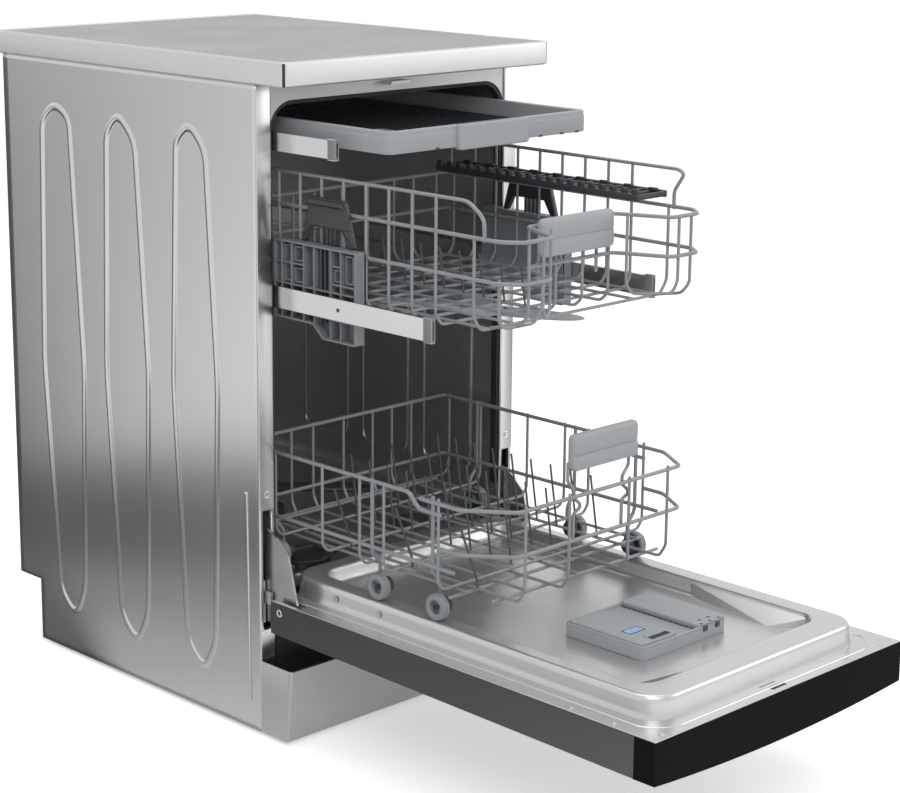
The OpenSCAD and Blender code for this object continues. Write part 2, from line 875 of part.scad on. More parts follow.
// One pair of moving rails with a plastic cap on each front end; run is how far they can still go forward
module rail_slider(z, h, slot_h, y0, len, run) {
    face_x = tub_hw - rail_t - run_gap;
    both_sides() {
        span([face_x - slider_t, y0, z - h / 2], [face_x, y0 + len, z + h / 2]);
        span([face_x - over, rail_y0 + run, z - slot_h / 2 + run_gap],
             [face_x + groove_d - run_gap, y0 + len, z + slot_h / 2 - run_gap]);
        span([face_x - slider_t, y0 - cap_len, z - h / 2 - cap_margin],
             [face_x + cap_margin / 2, y0 + over, z + h / 2 + cap_margin]);
    }
}

module upper_rails() {
    color("#b8babb") rail_slider(rail_z, rail_h, groove_h, upper_rail_front, upper_rail_len, 0);
}

module tray_rails() {
    color("#b8babb")
        rail_slider(tray_rail_z, tray_rail_h, tray_groove_h, tray_rail_front, tray_rail_len, tray_rail_run);
}

// Lower basket

// One row of upright pins on a foot wire
module tine_row(x, y0, z, h) {
    wire_y(x, y0 - tine_d, y0 + tine_pitch * (tine_count - 1) + tine_d, z, grid_d);
    for (i = [0 : tine_count - 1])
        wire_z(x, y0 + tine_pitch * i, z, z + h, tine_d);
}

module lower_basket() {
    floor_hw = lower_hw - frame_d / 2 - weld_gap - grid_d / 2;
    floor_y0 = -lower_front + frame_d / 2 + weld_gap + grid_d / 2;
    floor_y1 = lower_back - frame_d / 2 - weld_gap - grid_d / 2;
    floor_front_hw = lower_front_hw - frame_d;
    floor_side_y0 = lower_side_y0 + frame_d;
    cross_z = lower_floor_z - grid_d / 2 - frame_d / 4;
    bracket_z1 = cross_z - grid_d / 2 - weld_gap;
    side_bottom_z = lower_floor_z - frame_d / 2;
    row_ys = places(floor_side_y0, floor_y1, lower_steps_y);
    side_ys = places(lower_side_y0 + frame_d, lower_back - frame_d, lower_steps_y);
    front_xs = places(-lower_front_hw + frame_d, lower_front_hw - frame_d, 6);
    color("#8d9296") {
        // floor grid
        for (x = places(-floor_front_hw, floor_front_hw, lower_steps_x))
            wire_y(x, floor_y0 - grid_d / 2, floor_y1 + grid_d / 2, cross_z, grid_d);
        for (y = row_ys)
            wire_x(-floor_hw - grid_d / 2, floor_hw + grid_d / 2, y, lower_floor_z, frame_d);
        both_sides() for (x = [wheel_x0 - bracket_in + bracket_t / 2, floor_hw])
            wire_y(x, floor_side_y0 - frame_d / 2, floor_y1 + grid_d / 2, cross_z, grid_d);
        wire_x(-floor_front_hw - grid_d / 2, floor_front_hw + grid_d / 2, floor_y0, lower_floor_z, frame_d);
        // sides with two rings
        both_sides() {
            for (z = [lower_ring_z, lower_mid_z])
                wire_y(lower_hw, lower_side_y0, lower_back - frame_d / 2 - weld_gap, z, frame_d);
            for (y = side_ys)
                wire_z(lower_hw - frame_d / 4, y, side_bottom_z, lower_ring_z + frame_d / 2, grid_d);
        }
        // front with its chamfered corners
        for (z = [lower_ring_z, lower_mid_z]) {
            wire_x(-lower_front_hw, lower_front_hw, -lower_front, z, frame_d);
            both_sides() wire_xy([lower_front_hw, -lower_front],
                       [lower_hw - frame_d, lower_side_y0 - frame_d], z, frame_d);
        }
        for (x = front_xs)
            wire_z(x, -lower_front + frame_d / 4, side_bottom_z, lower_ring_z + frame_d / 2, grid_d);
        both_sides() wire_z(post_x, -lower_front, lower_mid_z, lower_handle_z - weld_gap, frame_d);
        // rear
        for (z = [lower_ring_z, lower_mid_z])
            wire_x(-lower_hw + frame_d / 2, lower_hw - frame_d / 2, lower_back, z, frame_d);
        for (x = places(-lower_hw + frame_d, lower_hw - frame_d, lower_steps_x))
            wire_z(x, lower_back - frame_d / 4, side_bottom_z, lower_ring_z + frame_d / 2, grid_d);
        // fixed rows of pins
        for (x = lower_fixed_tines)
            tine_row(x, lower_tine_y0, lower_floor_z + frame_d / 2 + weld_gap + grid_d / 2, tine_h);
        // wheel brackets, with stub axles for the front and middle wheels and a bore for the rear axle
        both_sides() {
            for (y = [wheel_front_y, wheel_middle_y]) {
                wheel_bracket(y, bracket_z1);
                axle_stub(wheel_x0 - bracket_in, y);
            }
            difference() {
                wheel_bracket(wheel_rear_y, bracket_z1);
                bar_x(wheel_x0 - bracket_in - over, wheel_x0, wheel_rear_y, wheel_z, wheel_bore_r);
            }
        }
    }
}

module wheel_bracket(y, z1) {
    span([wheel_x0 - bracket_in, y - bracket_t, wheel_z - axle_end_r - over],
         [wheel_x0 - bracket_in + bracket_t, y + bracket_t, z1]);
}

// A wheel axle from x0 out to its end cap
module axle_stub(x0, y) {
    cap_x = wheel_x0 + wheel_w + run_gap;
    bar_x(x0, cap_x + over, y, wheel_z, wheel_axle_r);
    bar_x(cap_x, cap_x + over, y, wheel_z, axle_end_r);
}

module rear_axles() {
    cap_x = wheel_x0 - bracket_in - run_gap;
    color("#7d8286") both_sides() {
        axle_stub(cap_x - over, wheel_rear_y);
        bar_x(cap_x - over, cap_x, wheel_rear_y, wheel_z, axle_end_r);
    }
}

module lower_handle() {
    color("#8e9498") round_front_plate(handle_hw, lower_handle_z, lower_handle_h, -lower_front);
}

// A handle plate centred on the wire plane, with a finger groove across its face
module round_front_plate(hw, z, h, y) {
    groove_share = 0.45;
    groove_z = z + h * groove_share;
    plate_groove = 2.5;
    difference() {
        front_slab(hw, z, z + h, y - handle_t / 2, y + handle_t / 2, handle_t / 2);
        span([-hw - over, y - handle_t / 2 - over, groove_z],
             [hw + over, y - handle_t / 2 + plate_groove, groove_z + plate_groove * 2]);
    }
}

module lower_tines() {
    color("#6f7478")
        tine_row(lower_tine_x, lower_tine_y0, lower_floor_z + frame_d / 2 + run_gap + grid_d / 2, tine_h);
}

// A left and a right wheel on one axle line
module wheel_pair(y) {
    rim_step = 2.5;
    both_sides() difference() {
        union() {
            bar_x(wheel_x0 + rim_step, wheel_x0 + wheel_w, y, wheel_z, wheel_r);
            bar_x(wheel_x0, wheel_x0 + rim_step + over, y, wheel_z, wheel_hub_r);
        }
        bar_x(wheel_x0 - over, wheel_x0 + wheel_w + over, y, wheel_z, wheel_bore_r);
        bar_x(wheel_x0 + wheel_w - rim_step, wheel_x0 + wheel_w + over, y, wheel_z, wheel_r - wheel_axle_r);
    }
}

module wheels_front() {
    color("#8a8f93") wheel_pair(wheel_front_y);
}
module wheels_middle() {
    color("#8a8f93") wheel_pair(wheel_middle_y);
}
module wheels_rear() {
    color("#8a8f93") wheel_pair(wheel_rear_y);
}

// Upper basket

module upper_basket() {
    floor_hw = upper_hw - frame_d / 2 - weld_gap - grid_d / 2;
    floor_y0 = recess_y + frame_d / 2 + weld_gap + grid_d / 2;
    floor_y1 = upper_back - frame_d / 2 - weld_gap - grid_d / 2;
    cross_z = upper_floor_z + frame_d / 4 + grid_d / 2;
    side_y0 = -upper_front + nose_back;
    side_bottom_z = upper_floor_z - frame_d / 2;
    nose_y = -upper_front;
    rings = [upper_ring_z, upper_mid_z];
    color("#8d9296") {
        // floor grid, with a tongue under each nose
        for (x = places(-recess_x + frame_d, recess_x - frame_d, 4))
            wire_y(x, floor_y0 - grid_d / 2, floor_y1 + grid_d / 2, cross_z, grid_d);
        both_sides() for (x = places(nose_x0, floor_hw - frame_d, 3))
            wire_y(x, nose_y + frame_d * 2, floor_y1 + grid_d / 2, cross_z, grid_d);
        for (y = places(floor_y0, floor_y1, upper_steps_y))
            wire_x(-floor_hw, floor_hw, y, upper_floor_z, frame_d);
        both_sides() wire_x(nose_x0 - grid_d / 2, floor_hw - frame_d + grid_d / 2, nose_y + frame_d * 3,
                   upper_floor_z, frame_d);
        // sides, each with a raised rim
        both_sides() {
            for (z = rings)
                wire_y(upper_hw, side_y0 + frame_d, upper_back - frame_d / 2 - weld_gap, z, frame_d);
            for (y = places(side_y0 + frame_d * 2, upper_back - frame_d, upper_steps_y))
                wire_z(upper_hw - frame_d / 4, y, side_bottom_z, upper_ring_z + frame_d / 2, grid_d);
        }
        raised_rim(-upper_hw, rim_left_y0);
        raised_rim(upper_hw, rim_right_y0);
        // front noses either side of the handle's recess
        both_sides() {
            for (z = rings) {
                wire_x(nose_x0, nose_x1, nose_y, z, frame_d);
                wire_xy([nose_x1, nose_y], [upper_hw - frame_d / 2, side_y0 - frame_d / 2], z, frame_d);
                wire_xy([nose_x0, nose_y], [recess_x - frame_d / 2, recess_y - frame_d], z, frame_d);
            }
            for (x = places(nose_x0 + grid_d, nose_x1 - grid_d, 2))
                wire_z(x, nose_y + frame_d / 4, side_bottom_z, upper_ring_z + frame_d / 2, grid_d);
        }
        // recessed middle of the front
        for (z = rings)
            wire_x(-recess_x, recess_x, recess_y, z, frame_d);
        for (x = places(-recess_x + frame_d, recess_x - frame_d, 4))
            wire_z(x, recess_y + frame_d / 4, side_bottom_z, upper_ring_z + frame_d / 2, grid_d);
        // rear
        for (z = rings)
            wire_x(-upper_hw + frame_d / 2, upper_hw - frame_d / 2, upper_back, z, frame_d);
        for (x = places(-upper_hw + frame_d, upper_hw - frame_d, upper_steps_x))
            wire_z(x, upper_back - frame_d / 4, side_bottom_z, upper_ring_z + frame_d / 2, grid_d);
    }
}

// The raised rim over one side of the upper basket
module raised_rim(x, y0) {
    wire_y(x, y0 - frame_d / 2, upper_back - frame_d, upper_rim_z, frame_d);
    for (y = places(y0, upper_back - frame_d * 2, 6))
        wire_z(x, y, upper_ring_z, upper_rim_z, grid_d);
}

module upper_handle() {
    plate_y = recess_y - frame_d / 2 - handle_t / 2 - weld_gap;
    color("#a3a9ad") round_front_plate(upper_handle_hw, upper_handle_z, upper_handle_h, plate_y);
}

// Height-adjuster carriers: ribbed plates that ride on the rails and hold the basket's sides
module upper_carriers() {
    x0 = upper_hw + frame_d / 2 + run_gap;
    x1 = tub_hw - rail_t - run_gap - slider_t - run_gap;
    plate_t = 4;
    ys = places(carrier_y0, carrier_y1 - plate_t, 6);
    zs = places(carrier_z0, carrier_z1 - plate_t, 5);
    color("#7c8286") both_sides() {
        span([x0, carrier_y0, carrier_z0], [x0 + plate_t, carrier_y1, carrier_z1]);
        for (y = ys)
            span([x0, y, carrier_z0], [x1, y + plate_t, carrier_z1]);
        for (z = zs)
            span([x0, carrier_y0, z], [x1 - plate_t, carrier_y1, z + plate_t]);
    }
}

// One adjuster lever: a dark trapezoid plate hinged along its lower edge
module adjuster_lever() {
    x0 = upper_hw + frame_d / 2 + run_gap;
    side_prism([[lever_y0, lever_z0], [lever_y1, lever_z0], [lever_y1 - lever_taper, lever_z0 + lever_h],
                [lever_y0 + lever_taper * 2, lever_z0 + lever_h]], x0, x0 + lever_t);
}

module lever_right() {
    color("#454c53") adjuster_lever();
}
module lever_left() {
    color("#454c53") mirror([1, 0, 0]) adjuster_lever();
}

// A slatted shelf that folds up against the right side rim
module folding_shelf() {
    x1 = upper_hw - grid_d / 2 - run_gap;
    x0 = x1 - shelf_w;
    slat_w = 6;
    color("#3c434a") {
        for (x = [x0, x1 - slat_w])
            span([x, shelf_y0, shelf_z - shelf_t / 2],
                 [x + slat_w, shelf_y0 + shelf_len, shelf_z + shelf_t / 2]);
        for (y = places(shelf_y0, shelf_y0 + shelf_len - slat_w, shelf_slats))
            span([x0, y, shelf_z - shelf_t / 2 + over], [x1, y + slat_w, shelf_z + shelf_t / 2 - over]);
    }
}

module upper_tines() {
    color("#6f7478")
        tine_row(upper_tine_x, upper_tine_y0, upper_floor_z + frame_d / 2 + run_gap + grid_d / 2,
                 upper_tine_h);
}

// Top tray

module tray_frame() {
    z1 = tray_z + tray_h;
    runner_x1 = tub_hw - rail_t - run_gap - slider_t - run_gap;
    runner_z = tray_rail_z - tray_runner_h / 2;
    color("#9ba1a6") {
        difference() {
            round_slab(-tray_hw, tray_hw, -tray_front, tray_back, tray_z, z1, tray_wall);
            span([-tray_hw + tray_wall, -tray_front + tray_wall, tray_z - over],
                 [tray_hw - tray_wall, tray_back - tray_wall, z1 + over]);
        }
        both_sides() span([tray_hw - over, tray_runner_y0, runner_z],
                   [runner_x1, tray_back - tray_wall, runner_z + tray_runner_h]);
        span([-grip_hw, -tray_front - grip_t, tray_z - grip_t], [grip_hw, -tray_front + over, z1]);
    }
}

module tray_grille() {
    x0 = tray_hw - tray_wall - weld_gap;
    y0 = -tray_front + tray_wall + weld_gap;
    y1 = tray_back - tray_wall - weld_gap;
    z0 = tray_z + tray_floor_t;
    color("#2f3236") {
        for (x = places(-x0, x0 - tray_slat_w, tray_slats))
            span([x, y0, z0], [x + tray_slat_w, y1, z0 + tray_floor_t]);
        for (y = places(y0, y1 - tray_slat_w, tray_cross))
            span([-x0, y, z0], [x0, y + tray_slat_w, z0 + tray_floor_t - over]);
    }
}

// Door

module door_skin() {
    color("#434547") difference() {
        side_prism([[door_y1, skin_z_rear], [skin_front_y, skin_z_panel], [skin_front_y, skin_top],
                   [door_y1, skin_top]],
                   -door_hw, door_hw);
        side_prism([[door_y1 - sheet_t, skin_z_rear + sheet_t],
                   [skin_front_y - over, skin_z_panel + sheet_t],
                    [skin_front_y - over, skin_top + over], [door_y1 - sheet_t, skin_top + over]],
                   -inner_hw, inner_hw);
        both_sides() span([slot_x0, door_y1 - sheet_t - over, skin_z_rear + sheet_t],
                   [slot_x1, door_y1 + over, skin_top + over]);
    }
    color("#8b8d8f")
        bar_x(-door_hw - plug_t / 2, -inner_hw, skin_plug_y, skin_plug_z, skin_plug_r);
}

module door_liner() {
    flange_hw = door_hw - over;
    color("#c9cacb") difference() {
        union() {
            span([-flange_hw, door_y0 + over, skin_top], [flange_hw, door_y1 - over, door_top_z]);
            round_slab(-rim_hw, rim_hw, rim_y0, rim_y1, skin_top, rim_z, rim_r);
        }
        difference() {
            round_slab(-rim_hw + liner_t, rim_hw - liner_t, rim_y0 + liner_t, rim_y1 - liner_t,
                       skin_top - over,
                       rim_z - liner_t, rim_r - liner_t);
            round_slab(-dish_hw - liner_t, dish_hw + liner_t, dish_y0 - liner_t, dish_y1 + liner_t,
                       dish_z, rim_z, dish_r + liner_t);
        }
        round_slab(-dish_hw, dish_hw, dish_y0, dish_y1, dish_z - over, rim_z + over, dish_r);
        both_sides() span([slot_x0, door_y1 - door_recess, skin_top - over],
                   [slot_x1, door_y1, door_top_z + over]);
        span([-lock_slot_w / 2, lock_y - lock_slot_d / 2, skin_top - over],
             [lock_slot_w / 2, lock_y + lock_slot_d / 2, door_top_z + over]);
    }
}

// The sunken floor of the liner, under the rim's inner wall
module liner_floor() {
    color("#c9cacb")
        round_slab(-dish_hw - liner_t, dish_hw + liner_t, dish_y0 - liner_t, dish_y1 + liner_t,
                   dish_z - liner_t, dish_z, dish_r + liner_t);
}

// Height of the control panel's bulged face at x
function bulge_z(x) = skin_z_front - panel_bulge * (1 - pow(x / door_hw, 2));

// The control panel wraps the door's front end, and its face bulges towards the middle
module control_panel() {
    face = [for (x = places(-door_hw, door_hw, bulge_steps)) [x, bulge_z(x)]];
    low_z = skin_z_front - panel_bulge;
    color("#17181a") difference() {
        translate([0, skin_front_y, 0]) rotate([90, 0, 0]) linear_extrude(panel_len)
            polygon(concat(face, [[door_hw, skin_top], [-door_hw, skin_top]]));
        span([-door_hw + panel_wall, door_y0 + panel_wall, panel_floor_z],
             [door_hw - panel_wall, skin_front_y + over, skin_top + over]);
        both_sides() bar_z(button_x, button_y, low_z - over, panel_floor_z + over, button_r + button_gap);
    }
}

// A button in the control panel's face, held by a flange behind the panel
module panel_button(x) {
    flange_z = panel_floor_z + run_gap;
    bar_z(x, button_y, bulge_z(x) - button_proud, flange_z + button_flange, button_r);
    bar_z(x, button_y, flange_z, flange_z + button_flange, button_r + button_flange);
}

module power_button() {
    color("#8f9396") panel_button(-button_x);
}
module start_button() {
    color("#8f9396") panel_button(button_x);
}

module door_insulation() {
    pad_gap = 6;
    color("#4a4640")
        span([-dish_hw, skin_front_y + pad_gap, skin_z_rear + sheet_t],
             [dish_hw, door_y1 - pad_gap, skin_top - pad_gap / 2]);
}

module hinge_arms() {
    arm_tail = 88;
    arm_lift = 4;
    // the horn's corners, from the flange's face in Y and from the hinge axis in Z
    horn = [[4, -33.5], [7, 14], [2, 87], [-16, 79], [-38, 59], [-52, 6], [-54, 1]];
    plate_y0 = door_y1 - arm_tail;
    plate_z0 = skin_z_rear + sheet_t + arm_lift;
    plate_z1 = skin_top;
    tab_t = 3;
    color("#cfd0cf") both_sides() {
        difference() {
            side_prism(concat([[plate_y0, plate_z0]], [for (p = horn) [door_recess + p[0], hinge_z + p[1]]],
                              [[plate_y0, plate_z1]]), arm_x0, arm_x1);
            bar_x(arm_x0 - over, arm_x1 + over, hinge_y, hinge_z, hinge_pin_r + pin_gap);
        }
        span([arm_x1 - over, plate_y0, plate_z1 - tab_t], [inner_hw, door_y1 - door_recess, plate_z1]);
    }
}

module hinge_brackets() {
    plate_y1 = tub_y0 + bracket_d;
    plate_z0 = hinge_z - bracket_drop;
    plate_z1 = hinge_z + bracket_rise;
    nose = 8;
    color("#9b9d9f") both_sides() {
        span([bracket_x0, hinge_y - nose, hinge_z - nose], [bracket_x1, tub_y0 + nose, hinge_z + nose]);
        span([bracket_x0, tub_y0 + run_gap, plate_z0], [bracket_x1, plate_y1, plate_z1]);
        span([bracket_x1 - over, tub_y0 + nose * 2, plate_z0], [inner_hw, plate_y1, plate_z0 + arm_t]);
        bar_x(arm_x0 - over, bracket_x0 + over, hinge_y, hinge_z, hinge_pin_r);
    }
}

// Door balance springs, lying beside the base's walls
module door_springs() {
    spring_r = 7;
    spring_front = 90;
    spring_rear = 60;
    spring_rise = 12;
    spring_y0 = base_y0 + spring_front;
    spring_y1 = base_y1 - spring_rear;
    spring_z = base_wall_z + spring_rise;
    hook_t = 3;
    color("#8e9092") both_sides() {
        bar_y(bracket_x0 + arm_t / 2, spring_y0, spring_y1, spring_z, spring_r);
        span([bracket_x0, spring_y1 - over, base_wall_z],
             [inner_hw, spring_y1 + hook_t * 3, spring_z + hook_t]);
        span([bracket_x0, tub_y0 + bracket_d - hook_t, spring_z],
             [bracket_x1, spring_y0 + over, spring_z + hook_t]);
        span([bracket_x0, tub_y0 + bracket_d - hook_t * 2, spring_z],
             [bracket_x1, tub_y0 + bracket_d, hinge_z - bracket_drop]);
    }
}

module door_lock() {
    color("#3b3e41") difference() {
        span([-lock_w / 2, lock_y - lock_d / 2 + over * 2, skin_top - lock_h],
             [lock_w / 2, lock_y + lock_d / 2, skin_top]);
        span([-lock_slot_w / 2, lock_y - lock_slot_d / 2, skin_top - lock_h / 2],
             [lock_slot_w / 2, lock_y + lock_slot_d / 2, skin_top + over]);
    }
}

module dispenser() {
    well_x0 = disp_x0 + disp_lid_w + disp_wall;
    well_x1 = well_x0 + disp_well_w;
    color("#9da3a8") difference() {
        round_slab(disp_x0, disp_x1, disp_y0, disp_y1, dish_z, disp_top_z, disp_wall);
        span([disp_x0 + disp_wall, disp_y0 + disp_wall, disp_lid_z],
             [well_x1, disp_y1 - disp_wall, disp_top_z + over]);
        span([disp_x0 + disp_wall * 3, disp_y0 + disp_wall * 3, dish_z + disp_wall],
             [well_x0 - disp_wall, disp_y1 - disp_wall * 3, disp_top_z + over]);
        span([well_x1 + disp_wall, disp_y0 - over, disp_lid_z],
             [disp_x1 + over, disp_y1 - disp_wall, disp_top_z + over]);
    }
}

module detergent_lid() {
    color("#a7adb2")
        span([disp_x0 + disp_wall + run_gap, disp_y0 + disp_wall + run_gap, disp_lid_z + run_gap],
             [disp_x0 + disp_wall + disp_lid_w, disp_y1 - disp_wall - run_gap, disp_top_z]);
}

module rinse_flap() {
    x0 = disp_x0 + disp_lid_w + disp_well_w + disp_wall * 2 + run_gap;
    color("#a7adb2")
        span([x0, disp_y0 + run_gap, disp_lid_z + run_gap],
             [disp_x1, disp_y1 - disp_wall - run_gap, disp_top_z]);
}

base_tray();
plinth();
side_panel_left();
side_panel_right();
back_panel();
worktop();
worktop_trim();
front_frame();
tub();
tub_seal();
counterweight();
sump();
circulation_pump();
drain_pump();
hinge_apron();
softener();
inlet_valve();
latch_striker();
door_springs();
hinge_brackets();
fixed_rails();
spray_ducts();
filter_plate();
cabinet_screws();
levelling_feet();
ceiling_sprayer();
lower_spray_arm();
filter_cylinder();
salt_cap();
rear_axles();
lower_basket();
lower_handle();
wheels_front();
wheels_middle();
wheels_rear();
lower_tines();
upper_rails();
upper_carriers();
upper_basket();
upper_handle();
folding_shelf();
lever_left();
lever_right();
upper_spray_arm();
feed_pipe();
upper_tines();
tray_rails();
tray_frame();
tray_grille();
door_skin();
door_liner();
liner_floor();
control_panel();
door_insulation();
hinge_arms();
dispenser();
detergent_lid();
rinse_flap();
power_button();
start_button();
door_lock();
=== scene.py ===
"""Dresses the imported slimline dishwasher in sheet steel, wire and moulded plastics, with light and camera.

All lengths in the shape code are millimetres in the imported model's frame; meshes are written in metres.
"""

import json
import logging
import math
from dataclasses import dataclass
from enum import Enum
from typing import Sequence

import bpy
import numpy as np
from mathutils import Matrix, Vector

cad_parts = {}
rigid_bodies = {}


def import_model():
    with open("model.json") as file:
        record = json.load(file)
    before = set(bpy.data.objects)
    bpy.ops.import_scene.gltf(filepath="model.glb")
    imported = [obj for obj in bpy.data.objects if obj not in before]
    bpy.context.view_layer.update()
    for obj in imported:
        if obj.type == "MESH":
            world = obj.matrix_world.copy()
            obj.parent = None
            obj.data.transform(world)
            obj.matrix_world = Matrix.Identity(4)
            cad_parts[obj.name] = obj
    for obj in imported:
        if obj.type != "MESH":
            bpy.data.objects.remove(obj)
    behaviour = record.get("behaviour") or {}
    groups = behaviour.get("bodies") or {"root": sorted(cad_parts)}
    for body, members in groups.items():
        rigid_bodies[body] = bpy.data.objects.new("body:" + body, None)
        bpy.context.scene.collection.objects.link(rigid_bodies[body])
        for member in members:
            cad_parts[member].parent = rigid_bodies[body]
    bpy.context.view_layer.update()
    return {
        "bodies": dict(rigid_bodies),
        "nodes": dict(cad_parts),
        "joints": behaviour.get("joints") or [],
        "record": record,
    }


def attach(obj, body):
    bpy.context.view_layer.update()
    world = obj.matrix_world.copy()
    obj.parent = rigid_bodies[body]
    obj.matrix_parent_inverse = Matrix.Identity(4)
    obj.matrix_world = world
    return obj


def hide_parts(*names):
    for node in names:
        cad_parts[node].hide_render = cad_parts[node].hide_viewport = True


LOG = logging.getLogger("dishwasher")
MM = 0.001
IMAGE_W, IMAGE_H = 900, 793
SHARP_DEGREES = 38
RELIEF_M = 0.0006
Array = np.ndarray


class Plane(Enum):
    """The plane that a flat outline is drawn in, and the axis that it is thickened along."""

    XY = (0, 1, 2)
    XZ = (0, 2, 1)
    YZ = (1, 2, 0)


class Shape:
    """Points in millimetres and the faces between them, one array of faces for each number of corners."""

    def __init__(self, points: Array, faces: Sequence[Array]) -> None:
        """Keeps the points (n, 3) and the faces, one (m, k) array for each number of corners k."""
        self.points = np.asarray(points, float).reshape(-1, 3)
        self.faces = [np.asarray(f, int) for f in faces if len(f)]

    @staticmethod
    def join(shapes: Sequence["Shape"]) -> "Shape":
        """Returns one shape with the points and faces of all the given ones.

        Args:
            shapes: The shapes to put together, in order.

        Returns:
            A new shape, its face indices shifted by the points before them.
        """
        points: list[Array] = []
        faces: list[Array] = []
        start = 0
        for shape in shapes:
            points.append(shape.points)
            faces.extend(f + start for f in shape.faces)
            start += len(shape.points)
        return Shape(np.vstack(points), faces)

    def moved(self, x: float = 0.0, y: float = 0.0, z: float = 0.0) -> "Shape":
        """Returns the shape shifted by x, y and z."""
        return Shape(self.points + np.array([x, y, z]), self.faces)

    def mirrored(self) -> "Shape":
        """Returns the shape's mirror image across the middle plane, with its faces turned outwards again."""
        return Shape(self.points * np.array([-1.0, 1.0, 1.0]), [f[:, ::-1] for f in self.faces])

    def both_sides(self) -> "Shape":
        """Returns the shape together with its mirror image across the middle plane."""
        return Shape.join([self, self.mirrored()])

    def turned(self, axis: str, degrees: float, at: Sequence[float] = (0, 0, 0)) -> "Shape":
        """Returns the shape turned about an axis through a point.

        Args:
            axis: "X", "Y" or "Z".
            degrees: The angle by the right-hand rule.
            at: The point that stays where it is.

        Returns:
            The turned copy.
        """
        matrix = np.array(Matrix.Rotation(math.radians(degrees), 3, axis))
        centre = np.asarray(at, float)
        return Shape((self.points - centre) @ matrix.T + centre, self.faces)


def facing_out(shape: Shape) -> Shape:
    """Turns a closed shape's faces outwards, by the sign of the volume that its fans of triangles sum to."""
    volume = 0.0
    for face in shape.faces:
        p = shape.points[face]
        first = np.broadcast_to(p[:, :1], p[:, 2:].shape)
        volume += float(np.einsum("ijk,ijk->", np.cross(p[:, 1:-1], p[:, 2:]), first))
    return shape if volume >= 0 else Shape(shape.points, [f[:, ::-1] for f in shape.faces])


def unit(vectors: Array) -> Array:
    """Returns vectors (n, 3) scaled to length 1."""
    return vectors / np.maximum(np.linalg.norm(vectors, axis=1, keepdims=True), 1e-9)


def mirror_path(points: Sequence[Sequence[float]]) -> list[tuple[float, float, float]]:
    """Returns a path's mirror image across the middle plane, run backwards."""
    return [(-x, y, z) for x, y, z in points[::-1]]


def loft(rings: Array, round_trip: bool = False) -> Shape:
    """Joins rings of points, one after the other, into a closed skin of four-sided faces.

    Args:
        rings: An array (rows, columns, 3); each row is one ring, and its last point joins its first.
        round_trip: Whether the last ring joins the first; otherwise both are closed by one face each.

    Returns:
        The closed skin, its faces turned outwards.
    """
    rows, cols = rings.shape[:2]
    index = np.arange(rows * cols).reshape(rows, cols)
    right = np.roll(index, -1, axis=1)
    last = rows if round_trip else rows - 1
    above, above_right = np.roll(index, -1, axis=0), np.roll(right, -1, axis=0)
    faces: list[Array] = [np.stack([index, right, above_right, above], axis=-1)[:last].reshape(-1, 4)]
    if not round_trip:
        faces += [index[0][::-1][None], index[-1][None]]
    return facing_out(Shape(rings.reshape(-1, 3), faces))


def fillet(points: Sequence[Sequence[float]], radius: float, steps: int = 5, closed: bool = False) -> Array:
    """Rounds the corners of a path: each corner becomes a quadratic curve between two points on its legs.

    Args:
        points: The path's corners.
        radius: How far back from a corner the curve starts, at most 0.45 of the shorter leg.
        steps: The number of spans in each curve.
        closed: Whether the last corner joins the first.

    Returns:
        The rounded path as an array of points.
    """
    p = np.asarray(points, float)
    before = np.roll(p, 1, axis=0)
    after = np.roll(p, -1, axis=0)
    to_before, to_after = before - p, after - p
    len_before = np.linalg.norm(to_before, axis=1, keepdims=True)
    len_after = np.linalg.norm(to_after, axis=1, keepdims=True)
    cut = np.minimum(radius, 0.45 * np.minimum(len_before, len_after))
    a = p + to_before / np.maximum(len_before, 1e-9) * cut
    b = p + to_after / np.maximum(len_after, 1e-9) * cut
    t = np.linspace(0, 1, steps + 1)[None, :, None]
    arcs = (1 - t) ** 2 * a[:, None] + 2 * t * (1 - t) * p[:, None] + t**2 * b[:, None]
    if closed:
        return arcs.reshape(-1, p.shape[1])
    return np.vstack([p[:1], arcs[1:-1].reshape(-1, p.shape[1]), p[-1:]])


def tube(path: Array, radius: float, sides: int = 8, closed: bool = False) -> Shape:
    """Carries a circle along a path: at each point it lies square to the mean of the legs that meet there.

    Args:
        path: The centre line, an array (n, 3).
        radius: The wire's radius.
        sides: The number of sides of the circle.
        closed: Whether the path is a loop.

    Returns:
        The tube; an open one is closed by a small dome of one ring at each end.
    """
    p = np.asarray(path, float)
    if closed:
        ahead = np.roll(p, -1, axis=0) - p
        behind = p - np.roll(p, 1, axis=0)
    else:
        step = np.diff(p, axis=0)
        ahead = np.vstack([step, step[-1:]])
        behind = np.vstack([step[:1], step])
    tangent = unit(unit(ahead) + unit(behind))
    normal = unit(np.cross(tangent, np.array([0.5345, 0.2673, 0.8018])))
    side = np.cross(tangent, normal)
    turn = np.arange(sides) * (2 * np.pi / sides)
    circle = normal[:, None] * np.cos(turn)[None, :, None] + side[:, None] * np.sin(turn)[None, :, None]
    rings = p[:, None] + radius * circle
    if closed:
        return loft(rings, round_trip=True)
    tip = 0.45 * radius
    first = p[:1, None] - tangent[:1, None] * tip + 0.6 * radius * circle[:1]
    last = p[-1:, None] + tangent[-1:, None] * tip + 0.6 * radius * circle[-1:]
    return loft(np.concatenate([first, rings, last]))


def wire(points: Sequence[Sequence[float]], diameter: float, bend: float = 7.0, sides: int = 8) -> Shape:
    """Returns a wire bent at each corner of its path."""
    return tube(fillet(points, bend, 4), diameter / 2, sides)


